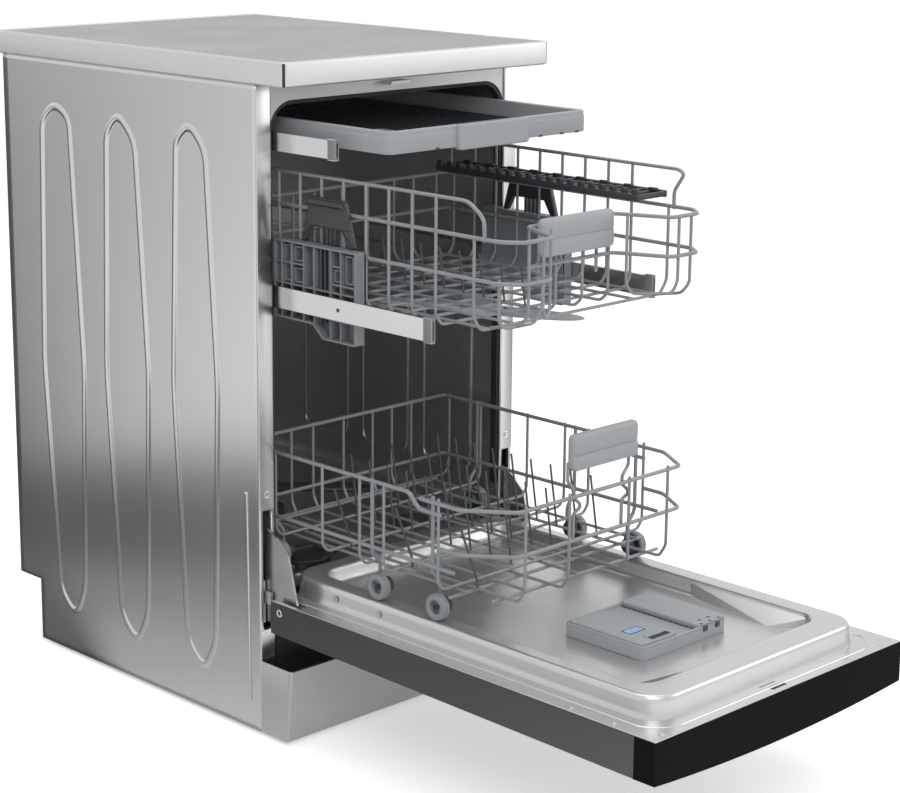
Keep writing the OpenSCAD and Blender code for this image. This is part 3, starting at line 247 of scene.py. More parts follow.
def rounded_box(x0: float, x1: float, y0: float, y1: float, radius: float, steps: int = 6) -> Array:
    """Returns the outline of a rectangle with quarter-circle corners, anticlockwise, as an array (n, 2)."""
    turn = np.linspace(0, np.pi / 2, steps + 1)
    corner = np.stack([np.cos(turn), np.sin(turn)], axis=1) * radius
    flipped = corner[::-1]
    return np.vstack([
        np.array([x1 - radius, y1 - radius]) + corner,
        np.array([x0 + radius, y1 - radius]) + flipped * [-1, 1],
        np.array([x0 + radius, y0 + radius]) - corner,
        np.array([x1 - radius, y0 + radius]) + flipped * [1, -1],
    ])


def outline_normals(outline: Array) -> Array:
    """Returns an anticlockwise outline's outward normals, each square to the line between its neighbours."""
    along = np.roll(outline, -1, axis=0) - np.roll(outline, 1, axis=0)
    normal = np.stack([along[:, 1], -along[:, 0]], axis=1)
    return unit(normal)


def slab(outline: Array, low: float, high: float, edge: float = 1.0, plane: Plane = Plane.XY) -> Shape:
    """Thickens a flat outline and rounds its edges by quarter circles of the given radius.

    Args:
        outline: The anticlockwise outline, an array (n, 2).
        low: The lower end along the plane's third axis.
        high: The upper end.
        edge: The radius of the rounded edges.
        plane: The plane that the outline lies in.

    Returns:
        The closed shape.
    """
    edge = min(edge, 0.49 * (high - low))
    turn = np.linspace(0, np.pi / 2, 4)
    over, under = edge * (1 - np.sin(turn)), edge * (1 - np.cos(turn))
    inset = np.concatenate([[1.6 * edge], over, under, [1.6 * edge]])
    level = np.concatenate([[low], low + under, high - over, [high]])
    return loft(rings_of(outline, np.stack([inset, level], axis=1), plane))


def rings_of(outline: Array, profile: Array, plane: Plane = Plane.XY) -> Array:
    """Carries a profile round an outline: each (inset, level) point gives the outline, drawn in, at a level.

    Args:
        outline: The anticlockwise outline, an array (n, 2).
        profile: Points of (inset along the outline's normal, level along the plane's third axis).
        plane: The plane that the outline lies in.

    Returns:
        The rings, an array (rows, n, 3).
    """
    p = np.asarray(profile, float)
    flat = outline[None] - p[:, :1, None] * outline_normals(outline)[None]
    a, b, c = plane.value
    rings = np.zeros((len(p), len(outline), 3))
    rings[..., a], rings[..., b], rings[..., c] = flat[..., 0], flat[..., 1], p[:, 1:2]
    return rings


def moulding(outline: Array, profile: Sequence[Sequence[float]], plane: Plane = Plane.XY) -> Shape:
    """Returns a closed frame: a closed profile of (inset, level) points carried round an outline."""
    return loft(rings_of(outline, np.asarray(profile, float), plane), round_trip=True)


def circle(x: float, y: float, radius: float, sides: int = 32) -> Array:
    """Returns an anticlockwise circle as an array (sides, 2)."""
    turn = np.arange(sides) * (2 * np.pi / sides)
    return np.stack([x + radius * np.cos(turn), y + radius * np.sin(turn)], axis=1)


def block(low: Sequence[float], high: Sequence[float], edge: float = 0.6, corner: float = 1.2) -> Shape:
    """Returns a box between two corners with softened edges."""
    corner = min(corner, 0.45 * min(high[0] - low[0], high[1] - low[1]))
    return slab(rounded_box(low[0], high[0], low[1], high[1], corner, 3), low[2], high[2], min(edge, corner))


def lathe(
    profile: Sequence[Sequence[float]], centre: Sequence[float], axis: str = "Z", sides: int = 48
) -> Shape:
    """Turns a profile of (radius, height) points about an axis, and closes both its ends.

    Args:
        profile: The points, from the bottom up along the outside.
        centre: Where height 0 on the axis lies.
        axis: "X", "Y" or "Z".
        sides: The number of sides.

    Returns:
        The turned shape.
    """
    p = np.asarray(profile, float)
    turn = np.arange(sides) * (2 * np.pi / sides)
    radius, height = p[:, :1], np.repeat(p[:, 1:], sides, axis=1)
    rings = np.stack([radius * np.cos(turn), radius * np.sin(turn), height], axis=-1)
    order = {"Z": [0, 1, 2], "X": [2, 0, 1], "Y": [1, 2, 0]}[axis]
    return loft(rings[..., order]).moved(*centre)


def repeated(shape: Shape, moves: Sequence[Sequence[float]]) -> Shape:
    """Returns copies of a shape, one at each of the given moves."""
    return Shape.join([shape.moved(*m) for m in moves])


def around(shape: Shape, count: int, axis: str, at: Sequence[float]) -> Shape:
    """Returns copies of a shape at even turns about an axis through a point."""
    return Shape.join([shape.turned(axis, 360.0 * k / count, at) for k in range(count)])


class Finish(Enum):
    """The finishes that the pieces take, each the name of its material."""

    LAMINATE = "worktop_laminate"
    TRIM = "bright_trim"
    SILVER = "silver_sheet"
    PLINTH = "plinth_sheet"
    ZINC = "zinc_sheet"
    TUB = "tub_steel"
    LINER = "liner_steel"
    SKIN = "skin_steel"
    PANEL = "panel_black"
    SPRING = "spring_steel"
    RAIL = "rail_steel"
    FILTER = "filter_steel"
    SEAL = "seal_rubber"
    BASE = "base_plastic"
    STONE = "stone_weight"
    NATURAL = "natural_plastic"
    MOTOR = "motor_plastic"
    DUCT = "duct_plastic"
    WIRE = "coated_wire"
    PIN = "ribbed_pin"
    WHEEL = "wheel_plastic"
    BLUE_GREY = "blue_grey_plastic"
    CARRIER = "carrier_plastic"
    SLATE = "slate_plastic"
    BUTTON = "button_plastic"
    FELT = "bitumen_felt"
    WINDOW = "blue_window"


@dataclass(frozen=True)
class Look:
    """How a finish looks: two colours mixed by its grain, its gloss, and the grain's direction and depth."""

    base: tuple[float, float, float]
    tint: tuple[float, float, float]
    metallic: float = 0.0
    rough_low: float = 0.4
    rough_high: float = 0.5
    grain: float = 900.0
    stretch: tuple[float, float, float] = (1.0, 1.0, 1.0)
    relief: float = 0.05
    blotch: float = 6.0
    coat: float = 0.0
    shine: float = 0.5


def grey(v: float, cool: float = 0.0) -> tuple[float, float, float]:
    """Returns a grey of linear value v, its blue raised and its red lowered by the share cool."""
    return (v * (1 - cool), v, v * (1 + cool))


LOOKS: dict[Finish, Look] = {
    Finish.LAMINATE: Look(grey(0.27), grey(0.32), 0.0, 0.38, 0.50, 1400.0, (1, 1, 1), 0.04, 8.0, 0.0, 0.35),
    Finish.TRIM: Look(grey(0.66), grey(0.58), 0.55, 0.30, 0.40, 300.0, (1, 1, 1), 0.02, 4.0),
    Finish.SILVER: Look(grey(0.60), grey(0.55), 1.0, 0.19, 0.25, 700.0, (1, 1, 0.04), 0.025, 2.5),
    Finish.PLINTH: Look(grey(0.46), grey(0.42), 0.75, 0.36, 0.46, 800.0, (1, 1, 1), 0.03, 4.0),
    Finish.ZINC: Look(grey(0.60, 0.01), grey(0.50, 0.01), 0.8, 0.34, 0.5, 60.0, (1, 1, 1), 0.02, 12.0),
    Finish.TUB: Look(grey(0.50), grey(0.43), 0.75, 0.24, 0.34, 500.0, (1, 1, 0.05), 0.03, 3.0),
    Finish.LINER: Look(grey(0.60), grey(0.54), 0.74, 0.24, 0.32, 420.0, (0.06, 1, 1), 0.02, 4.0),
    Finish.SKIN: Look(grey(0.11), grey(0.075), 0.9, 0.34, 0.44, 900.0, (1, 1, 0.02), 0.06, 3.0),
    Finish.PANEL: Look(grey(0.007), grey(0.009), 0.0, 0.44, 0.52, 1200.0, (1, 1, 1), 0.01, 5.0, 0.0, 0.02),
    Finish.SPRING: Look(grey(0.62), grey(0.52), 0.95, 0.25, 0.4, 350.0, (1, 1, 1), 0.03, 20.0),
    Finish.RAIL: Look(grey(0.66), grey(0.58), 1.0, 0.22, 0.32, 700.0, (1, 0.03, 1), 0.04, 8.0),
    Finish.FILTER: Look(grey(0.55), grey(0.45), 1.0, 0.25, 0.4, 900.0, (1, 1, 1), 0.15, 20.0),
    Finish.SEAL: Look(grey(0.018), grey(0.026), 0.0, 0.6, 0.75, 700.0, (1, 1, 1), 0.08, 20.0),
    Finish.BASE: Look(grey(0.012), grey(0.018), 0.0, 0.5, 0.65, 900.0, (1, 1, 1), 0.12, 10.0),
    Finish.STONE: Look(grey(0.26), grey(0.18), 0.0, 0.8, 0.95, 180.0, (1, 1, 1), 0.5, 10.0),
    Finish.NATURAL: Look(grey(0.66, -0.03), grey(0.58, -0.04), 0.0, 0.42, 0.55, 500.0, (1, 1, 1), 0.05, 6.0),
    Finish.MOTOR: Look(grey(0.035, 0.04), grey(0.05, 0.04), 0.0, 0.42, 0.55, 700.0, (1, 1, 1), 0.08, 8.0),
    Finish.DUCT: Look(grey(0.060, 0.05), grey(0.075, 0.05), 0.0, 0.38, 0.5, 800.0, (1, 1, 1), 0.06, 10.0),
    Finish.WIRE: Look(grey(0.29, 0.05), grey(0.26, 0.05), 0.0, 0.28, 0.36, 500.0, (1, 1, 1), 0.03, 20.0, 0.1),
    Finish.PIN: Look(grey(0.085, 0.05), grey(0.07, 0.05), 0.0, 0.45, 0.55, 700.0, (1, 1, 1), 0.05, 20.0),
    Finish.WHEEL: Look(grey(0.27, 0.05), grey(0.24, 0.05), 0.0, 0.36, 0.46, 900.0, (1, 1, 1), 0.05, 20.0),
    Finish.BLUE_GREY: Look(grey(0.38, 0.05), grey(0.345, 0.05), 0.0, 0.4, 0.5, 1100.0, (1, 1, 1), 0.07, 8.0),
    Finish.CARRIER: Look(grey(0.23, 0.06), grey(0.20, 0.06), 0.0, 0.40, 0.50, 900.0, (1, 1, 1), 0.06, 10.0),
    Finish.SLATE: Look(grey(0.042, 0.12), grey(0.034, 0.12), 0.0, 0.38, 0.50, 900.0, (1, 1, 1), 0.07, 12.0),
    Finish.BUTTON: Look(grey(0.30), grey(0.26), 0.3, 0.25, 0.35, 900.0, (1, 1, 1), 0.03, 20.0),
    Finish.FELT: Look(grey(0.03), grey(0.05), 0.0, 0.9, 1.0, 300.0, (1, 1, 1), 0.6, 10.0),
    Finish.WINDOW: Look(
        (0.20, 0.36, 0.78), (0.30, 0.46, 0.85), 0.0, 0.12, 0.2, 600.0, (1, 1, 1), 0.02, 20.0, 0.5
    ),
}


class Dresser:
    """Builds each material once, on one shared node group of fine grain and slow blotches."""

    def __init__(self) -> None:
        """Builds the node group and an empty store of materials."""
        self.grain = self._grain_group()
        self.made: dict[Finish, bpy.types.Material] = {}

    @staticmethod
    def _grain_group() -> bpy.types.NodeTree:
        """Builds the group that turns a position into a fine grain, a slow blotch and the mix of both.

        Returns:
            The node group, with inputs Vector, Grain and Blotch, and outputs Fine, Slow and Mask.
        """
        tree = bpy.data.node_groups.new("grain_and_blotch", "ShaderNodeTree")
        face = tree.interface
        face.new_socket("Vector", in_out="INPUT", socket_type="NodeSocketVector")
        face.new_socket("Grain", in_out="INPUT", socket_type="NodeSocketFloat").default_value = 900.0
        face.new_socket("Blotch", in_out="INPUT", socket_type="NodeSocketFloat").default_value = 6.0
        for name in ("Fine", "Slow", "Mask"):
            face.new_socket(name, in_out="OUTPUT", socket_type="NodeSocketFloat")
        nodes, links = tree.nodes, tree.links
        given, out = nodes.new("NodeGroupInput"), nodes.new("NodeGroupOutput")
        fine, slow = nodes.new("ShaderNodeTexNoise"), nodes.new("ShaderNodeTexNoise")
        fine.inputs["Detail"].default_value = 3.0
        slow.inputs["Detail"].default_value = 2.0
        slow.inputs["Roughness"].default_value = 0.4
        mean = nodes.new("ShaderNodeMath")
        mean.operation = "MULTIPLY_ADD"
        mean.inputs[1].default_value = 0.5
        half = nodes.new("ShaderNodeMath")
        half.operation = "MULTIPLY"
        half.inputs[1].default_value = 0.5
        links.new(given.outputs["Vector"], fine.inputs["Vector"])
        links.new(given.outputs["Vector"], slow.inputs["Vector"])
        links.new(given.outputs["Grain"], fine.inputs["Scale"])
        links.new(given.outputs["Blotch"], slow.inputs["Scale"])
        links.new(fine.outputs["Fac"], mean.inputs[0])
        links.new(slow.outputs["Fac"], half.inputs[0])
        links.new(half.outputs[0], mean.inputs[2])
        links.new(fine.outputs["Fac"], out.inputs["Fine"])
        links.new(slow.outputs["Fac"], out.inputs["Slow"])
        links.new(mean.outputs[0], out.inputs["Mask"])
        return tree

    def material(self, finish: Finish) -> bpy.types.Material:
        """Returns the material of a finish, and builds it when it is first asked for.

        Args:
            finish: The finish.

        Returns:
            A node material on object coordinates.
        """
        if finish in self.made:
            return self.made[finish]
        look = LOOKS[finish]
        mat = bpy.data.materials.new(finish.value)
        mat.use_nodes = True
        nodes, links = mat.node_tree.nodes, mat.node_tree.links
        shader = nodes["Principled BSDF"]
        shader.inputs["Metallic"].default_value = look.metallic
        shader.inputs["Coat Weight"].default_value = look.coat
        shader.inputs["Specular IOR Level"].default_value = look.shine
        place, mapping = nodes.new("ShaderNodeTexCoord"), nodes.new("ShaderNodeMapping")
        mapping.inputs["Scale"].default_value = look.stretch
        group = nodes.new("ShaderNodeGroup")
        group.node_tree = self.grain
        group.inputs["Grain"].default_value = look.grain
        group.inputs["Blotch"].default_value = look.blotch
        links.new(place.outputs["Object"], mapping.inputs["Vector"])
        links.new(mapping.outputs["Vector"], group.inputs["Vector"])
        mix = nodes.new("ShaderNodeMix")
        mix.data_type = "RGBA"
        mix.inputs[6].default_value = (*look.base, 1.0)
        mix.inputs[7].default_value = (*look.tint, 1.0)
        links.new(group.outputs["Mask"], mix.inputs[0])
        links.new(mix.outputs[2], shader.inputs["Base Color"])
        span = nodes.new("ShaderNodeMapRange")
        span.inputs["From Min"].default_value = 0.3
        span.inputs["From Max"].default_value = 0.7
        span.inputs["To Min"].default_value = look.rough_low
        span.inputs["To Max"].default_value = look.rough_high
        links.new(group.outputs["Slow"], span.inputs["Value"])
        links.new(span.outputs["Result"], shader.inputs["Roughness"])
        bump = nodes.new("ShaderNodeBump")
        bump.inputs["Strength"].default_value = look.relief
        bump.inputs["Distance"].default_value = RELIEF_M
        links.new(group.outputs["Fine"], bump.inputs["Height"])
        links.new(bump.outputs["Normal"], shader.inputs["Normal"])
        self.made[finish] = mat
        return mat

    def dress_nodes(self, frame: dict) -> None:
        """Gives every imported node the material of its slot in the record.
        """
        by_slot = {f.value: f for f in Finish}
        for part in frame["record"]["subparts"]:
            node = frame["nodes"][part["node"]]
            node.data.materials.clear()
            node.data.materials.append(self.material(by_slot[part["material_slot"]]))

    def piece(
        self,
        name: str,
        shape: Shape,
        finish: Finish,
        body: str,
        replaces: Sequence[str] = (),
        flat: bool = False,
    ) -> bpy.types.Object:
        """Makes a shape into an object that rides on a body.

        Args:
            name: The piece's name.
            shape: Its points in millimetres, and its faces.
            finish: The finish, whose name is also a slot of the record, but for the window and the pins.
            body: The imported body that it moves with.
            replaces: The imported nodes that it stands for.
            flat: Whether its faces are shaded flat.

        Returns:
            The new object, at the origin, its place in its mesh.
        """
        mesh = bpy.data.meshes.new(name)
        faces = [tuple(row) for rows in shape.faces for row in rows.tolist()]
        mesh.from_pydata((shape.points * MM).tolist(), [], faces)
        mesh.validate()
        mesh.polygons.foreach_set("use_smooth", np.full(len(mesh.polygons), not flat, dtype=bool))
        if not flat:
            mesh.set_sharp_from_angle(angle=math.radians(SHARP_DEGREES))
        mesh.materials.append(self.material(finish))
        piece = bpy.data.objects.new(name, mesh)
        bpy.context.scene.collection.objects.link(piece)
        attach(piece, body)
        if replaces:
            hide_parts(*replaces)
        LOG.info("%s: %d faces on %s", name, len(faces), body)
        return piece


@dataclass(frozen=True)
class Cabinet:
    """The shell: pressed side panels, worktop with its trim, bent plinth, and the pressings of the tub."""

    half: float = 223.0
    front: float = 48.0
    back: float = 570.0
    bottom: float = 5.0
    top: float = 815.0
    flange: float = 24.0
    bend: float = 3.0
    sheet: float = 1.5
    grid: float = 12.0
    notch: tuple[float, float] = (522.0, 91.0)
    slot: tuple[float, float, float, float] = (204.5, 217.5, 140.0, 292.0)
    bead_height: float = 1.9
    bead_half: float = 5.6
    bead_turn: float = 22.0
    loops: tuple[tuple[tuple[float, float], ...], ...] = (
        ((484, 735), (496, 407), (473, 86), (440, 58), (417, 100), (405, 409), (424, 742), (455, 758)),
        ((343, 732), (355, 417), (334, 86), (301, 57), (277, 98), (265, 430), (284, 727), (318, 757)),
        ((200, 737), (213, 424), (193, 86), (160, 58), (136, 98), (125, 436), (143, 729), (173, 758)),
    )
    straight: tuple[tuple[float, float], ...] = ((73, 310), (70, 43))
    straight_half: float = 3.0
    strips: tuple[tuple[float, float], ...] = ((293.4, 813.6), (101.0, 138.6))
    strip_x: tuple[float, float] = (200.2, 222.0)
    stud_at: tuple[float, float, float] = (211.3, 0.0, 312.0)
    top_half: float = 225.0
    top_front: float = -6.0
    top_back: float = 590.0
    board_x: float = 219.4
    board_y: tuple[float, float] = (-0.4, 576.0)
    bar_y: tuple[float, float] = (577.2, 584.6)
    edge_turn: float = 6.0
    edge_wide: float = 4.3
    plinth_top: float = 99.0
    plinth_lean: float = 9.0
    rear_wall: float = 547.6
    side_wall: float = 199.6
    rear_loops: tuple[tuple[float, float, float], ...] = (
        (-118.0, 250.0, 500.0), (-118.0, 600.0, 740.0), (118.0, 250.0, 500.0), (118.0, 600.0, 740.0)
    )
    side_loops: tuple[tuple[float, float, float], ...] = (
        (150.0, 250.0, 500.0), (275.0, 250.0, 500.0), (400.0, 250.0, 500.0)
    )

    def beads(self) -> Shape:
        """Builds the stiffening beads that stand out of the right panel: three closed loops and a straight.

        A loop's section is given in shares of its half width and height, from its crown down to the panel.
        """
        w, h, x = self.bead_half, self.bead_height, self.half
        crown = [(0.18, 1.0), (0.34, 0.94), (0.5, 0.78), (0.66, 0.5), (0.82, 0.2), (0.92, 0.06), (1.0, 0.0)]
        half = [*crown, (1.0, -0.5)]
        profile = [(w * a, x + h * b) for a, b in [(-a, b) for a, b in half[::-1]] + half]
        turned = [fillet(loop, self.bead_turn, 8, closed=True) for loop in self.loops]
        loops = [moulding(path, profile, Plane.YZ) for path in turned]
        (y1, z1), (y0, z0) = self.straight
        r = self.straight_half
        corners = [(y0 - r, z0 - r), (y0 + r, z0 - r), (y1 + r, z1 + r), (y1 - r, z1 + r)]
        ridge = slab(fillet(corners, 0.9 * r, 5, closed=True), x - 0.8, x + h, 1.5, Plane.YZ)
        return Shape.join([*loops, ridge])

    def panel(self) -> Shape:
        """Builds the right side panel: a bent section carried up, without the rear notch and the hinge slot.

        Returns:
            An open sheet, its faces outwards.
        """
        slot_x0, slot_x1, slot_z0, slot_z1 = self.slot
        turn = np.linspace(0, np.pi / 2, 6)
        centre = np.array([self.half - self.bend, self.front + self.bend])
        bent = centre + self.bend * np.stack([np.sin(turn), -np.cos(turn)], axis=1)
        xs = (self.half - self.flange, 201.5, slot_x0, (slot_x0 + slot_x1) / 2, slot_x1)
        ahead = np.array([[x, self.front] for x in xs])
        ys = np.concatenate([np.arange(self.front + 6, self.back, self.grid), [self.notch[0], self.back]])
        ys = np.unique(ys)
        side = np.stack([np.full(len(ys), self.half), ys], axis=1)
        line = np.vstack([ahead, bent, side])
        edges = [self.notch[1], slot_z0, slot_z1, self.top]
        zs = np.unique(np.concatenate([np.arange(self.bottom, self.top, self.grid), edges]))
        u, v = len(line), len(zs)
        flat = np.repeat(line[:, None], v, axis=1)
        points = np.concatenate([flat, np.repeat(zs[None, :, None], u, axis=0)], axis=-1).reshape(-1, 3)
        index = np.arange(u * v).reshape(u, v)
        quads = np.stack([index[:-1, :-1], index[1:, :-1], index[1:, 1:], index[:-1, 1:]], axis=-1)
        quads = quads.reshape(-1, 4)
        x, y, z = points[quads].mean(axis=1).T
        rear = (y > self.notch[0]) & (z < self.notch[1])
        hinge = (y < self.front + 0.5) & (x > slot_x0) & (x < slot_x1) & (z > slot_z0) & (z < slot_z1)
        return Shape(points, [quads[~(rear | hinge)]])

    def front_strips(self) -> Shape:
        """Builds the bright strips on the panels' front flanges, each side with a round stud."""
        (x0, x1), y = self.strip_x, self.front
        strips = [block((x0, y - 0.7, low), (x1, y + 0.4, high), 0.3) for low, high in self.strips]
        profile = [(0.5, y - 0.4), (0.5, y - 1), (3.2, y - 1), (3.8, y - 1.4), (4.6, y - 1.1), (4.6, y - 0.4)]
        return Shape.join([*strips, lathe(profile, self.stud_at, "Y", 24)]).both_sides()

    def worktop(self, dresser: "Dresser") -> None:
        """Makes the worktop: board, rear bar, trim round its edge, and the dark joints between them."""
        low, high, x = self.top, self.top + 30.0, self.board_x
        board = slab(rounded_box(-x, x, *self.board_y, 2.0, 3), low, high - 0.6, 0.5)
        dresser.piece("worktop_board", board, Finish.LAMINATE, "cabinet", ["worktop"])
        bar = slab(rounded_box(-x, x, *self.bar_y, 1.5, 3), low, high - 0.1, 0.8)
        dresser.piece("worktop_back_bar", bar, Finish.TRIM, "cabinet")
        wide, round_at = self.edge_wide, self.edge_turn
        side = self.top_half - wide
        inset = rounded_box(-side, side, self.top_front + wide, self.top_back - wide, 2.0, 3)
        seam = slab(inset, low + 1, high - 1.8, 0.3)
        turn = np.radians(np.linspace(212, 246, 6))
        arc = np.stack([np.cos(turn), np.sin(turn)], axis=1)
        middle = [-self.top_half + round_at, self.top_front + round_at]
        corner = np.vstack([(round_at + 0.12) * arc, (round_at - 0.8) * arc[::-1]]) + middle
        joints = Shape.join([seam, slab(corner, low + 1.2, high - 1.6, 0.1).both_sides()])
        dresser.piece("worktop_joints", joints, Finish.SEAL, "cabinet")
        rim = [(0, 817), (0, 841.5), (0.6, 843.8), (1.8, 845), (3.4, 845), (4.1, 844.4), (4.2, 842),
               (4.2, 815), (2, 815)]
        outline = rounded_box(-self.top_half, self.top_half, self.top_front, self.top_back, round_at, 6)
        dresser.piece("worktop_edge", moulding(outline, rim), Finish.TRIM, "cabinet", ["worktop_trim"])

    def plinth(self) -> Shape:
        """Builds the plinth: a U-shaped section with round corners that leans forward towards its top."""
        w, y, low, high = self.half, self.front, self.bottom, self.plinth_top
        rings = []
        for z, edge in ((low, 0.5), (low + 0.6, 0.0), (high - 0.8, 0.0), (high, 0.6)):
            lean = -self.plinth_lean * (z - low) / (high - low)
            out, inside = w - edge, w - 2.0
            outer = fillet([(-out, y), (-out, lean + edge), (out, lean + edge), (out, y)], 5.0, 6)
            inner = fillet([(-inside, y), (-inside, lean + 2), (inside, lean + 2), (inside, y)], 3.5, 6)
            flat = np.vstack([outer, inner[::-1]])
            rings.append(np.column_stack([flat, np.full(len(flat), z)]))
        return loft(np.array(rings))

    def pressings(self) -> Shape:
        """Builds the low stiffening beads on the tub's rear and side walls, as loops of half-round bar."""
        loops = []
        for x, z0, z1 in self.rear_loops:
            p = rounded_box(x - 44, x + 44, z0, z1, 20.0, 5)
            path = np.column_stack([p[:, 0], np.full(len(p), self.rear_wall), p[:, 1]])
            loops.append(tube(path, 2.2, 6, closed=True))
        for y, z0, z1 in self.side_loops:
            p = rounded_box(y - 46, y + 46, z0, z1, 20.0, 5)
            path = np.column_stack([np.full(len(p), self.side_wall), p])
            loops.append(tube(path, 2.0, 6, closed=True).both_sides())
        return Shape.join(loops)

    def build(self, dresser: "Dresser") -> None:
        """Makes the cabinet's pieces."""
        panel, beads = self.panel(), self.beads()
        for name, shape in (("side_panel_right", panel), ("side_panel_left", panel.mirrored())):
            piece = dresser.piece(name + "_pressed", shape, Finish.SILVER, "cabinet", [name])
            wall = piece.modifiers.new("sheet", "SOLIDIFY")
            wall.thickness = self.sheet * MM
            wall.offset = -1.0
        dresser.piece("beads_right", beads, Finish.SILVER, "cabinet")
        dresser.piece("beads_left", beads.mirrored(), Finish.SILVER, "cabinet")
        dresser.piece("front_strips", self.front_strips(), Finish.RAIL, "cabinet")
        self.worktop(dresser)
        dresser.piece("plinth_bent", self.plinth(), Finish.PLINTH, "cabinet", ["plinth"])
        dresser.piece("tub_pressings", self.pressings(), Finish.TUB, "cabinet")


@dataclass(frozen=True)
class WaterWorks:
    """The spray arms and the filter that show inside the tub."""

    lower_at: tuple[float, float, float] = (0.0, 300.0, 222.0)
    lower_reach: float = 152.0
    lower_turn: float = 44.0
    upper_at: tuple[float, float, float] = (0.0, -102.0, 533.3)
    upper_reach: float = 141.0
    upper_turn: float = 22.0
    height: float = 11.0
    hub: float = 20.0
    bore: float = 6.4
    jet_first: float = 40.0
    jet_pitch: float = 24.0
    filter_at: tuple[float, float] = (-110.0, 98.0)
    cup_r: float = 36.0

    def blade(self, reach: float) -> Shape:
        """Builds one blade along +Y: an oval section whose half width swells, then closes to a round tip.

        The half width is 11 + 4 sin(pi s) mm, times the root of 1 - (s to the eighth), for s from 0 to 1.

        Args:
            reach: The distance from the hub's axis to the tip.

        Returns:
            The blade, its lower face at height 0.
        """
        s = 1 - (1 - np.linspace(0, 1, 26)) ** 1.6
        y = 12.0 + s * (reach - 12.6)
        close = np.sqrt(np.maximum(1 - s**8, 0.004))
        turn = np.arange(16) * (2 * np.pi / 16)
        half = (11.0 + 4.0 * np.sin(np.pi * s)) * close
        up = 0.5 * self.height * (1 - 0.35 * s) * close
        x = half[:, None] * np.sign(np.cos(turn)) * np.abs(np.cos(turn)) ** 0.7
        z = 0.5 * self.height + up[:, None] * np.sign(np.sin(turn)) * np.abs(np.sin(turn)) ** 0.7
        return loft(np.stack([x, np.repeat(y[:, None], 16, axis=1), z], axis=-1))

    def arm(self, reach: float, at: Sequence[float], turn: float) -> tuple[Shape, Shape]:
        """Builds a two-bladed spray arm and its jets.

        Args:
            reach: From the axis to a blade's tip.
            at: The foot of the hub's axis.
            turn: The turn of the blades, in degrees.

        Returns:
            The arm, and the dark jets on its blades.
        """
        blade = self.blade(reach)
        top, wall = self.height, self.hub - self.bore
        profile = [(0, 1.2), (0, top - 1.4), (1.4, top), (wall, top), (wall, 0), (1.4, 0)]
        hub = moulding(circle(0, 0, self.hub, 40), profile)
        jet = lathe([(0.6, 0), (2.6, 0), (2.2, 1.0), (0.9, 1.0), (0.8, 0.3)], (0, 0, 0), sides=12)
        outs = [self.jet_first + self.jet_pitch * k for k in range(5)]
        places = [(5.0 * (-1) ** k, y, 10.6 - 1.5 * y / reach) for k, y in enumerate(outs) if y < reach - 8]
        body = Shape.join([blade, blade.turned("Z", 180), hub]).turned("Z", turn).moved(*at)
        one = repeated(jet, places)
        jets = Shape.join([one, one.turned("Z", 180)]).turned("Z", turn).moved(*at)
        return body, jets

    def filter_cup(self) -> Shape:
        """Builds the filter: a round body with a groove under its lip, ribs, and a grip bar across."""
        (x, y), r = self.filter_at, self.cup_r
        profile = [(2, 130), (r - 1, 130), (r, 132), (r, 186), (r - 2.5, 188), (r - 2.5, 200), (r, 200.5),
                   (r, 202), (r - 1, 203), (29, 203), (27, 200), (16, 199), (2, 199)]
        cup = lathe(profile, (x, y, 0), sides=40)
        rib = block((x + r - 3, y - 1.3, 187.5), (x + r - 0.1, y + 1.3, 201.0), 0.4)
        bar = slab(rounded_box(x - 18, x + 18, y - 4, y + 4, 3.6, 4), 198.0, 213.0, 1.4)
        return Shape.join([cup, around(rib, 26, "Z", (x, y, 0)), bar])

    def build(self, dresser: "Dresser") -> None:
        """Makes the two arms and the filter."""
        body, jets = self.arm(self.lower_reach, self.lower_at, self.lower_turn)
        dresser.piece("lower_arm_blades", body, Finish.DUCT, "lower_spray_arm", ["lower_spray_arm"])
        dresser.piece("lower_arm_jets", jets, Finish.SLATE, "lower_spray_arm")
        body, jets = self.arm(self.upper_reach, self.upper_at, self.upper_turn)
        dresser.piece("upper_arm_blades", body, Finish.BLUE_GREY, "upper_spray_arm", ["upper_spray_arm"])
        dresser.piece("upper_arm_jets", jets, Finish.SLATE, "upper_spray_arm")
        dresser.piece("filter_cup", self.filter_cup(), Finish.SLATE, "filter_cylinder", ["filter_cylinder"])


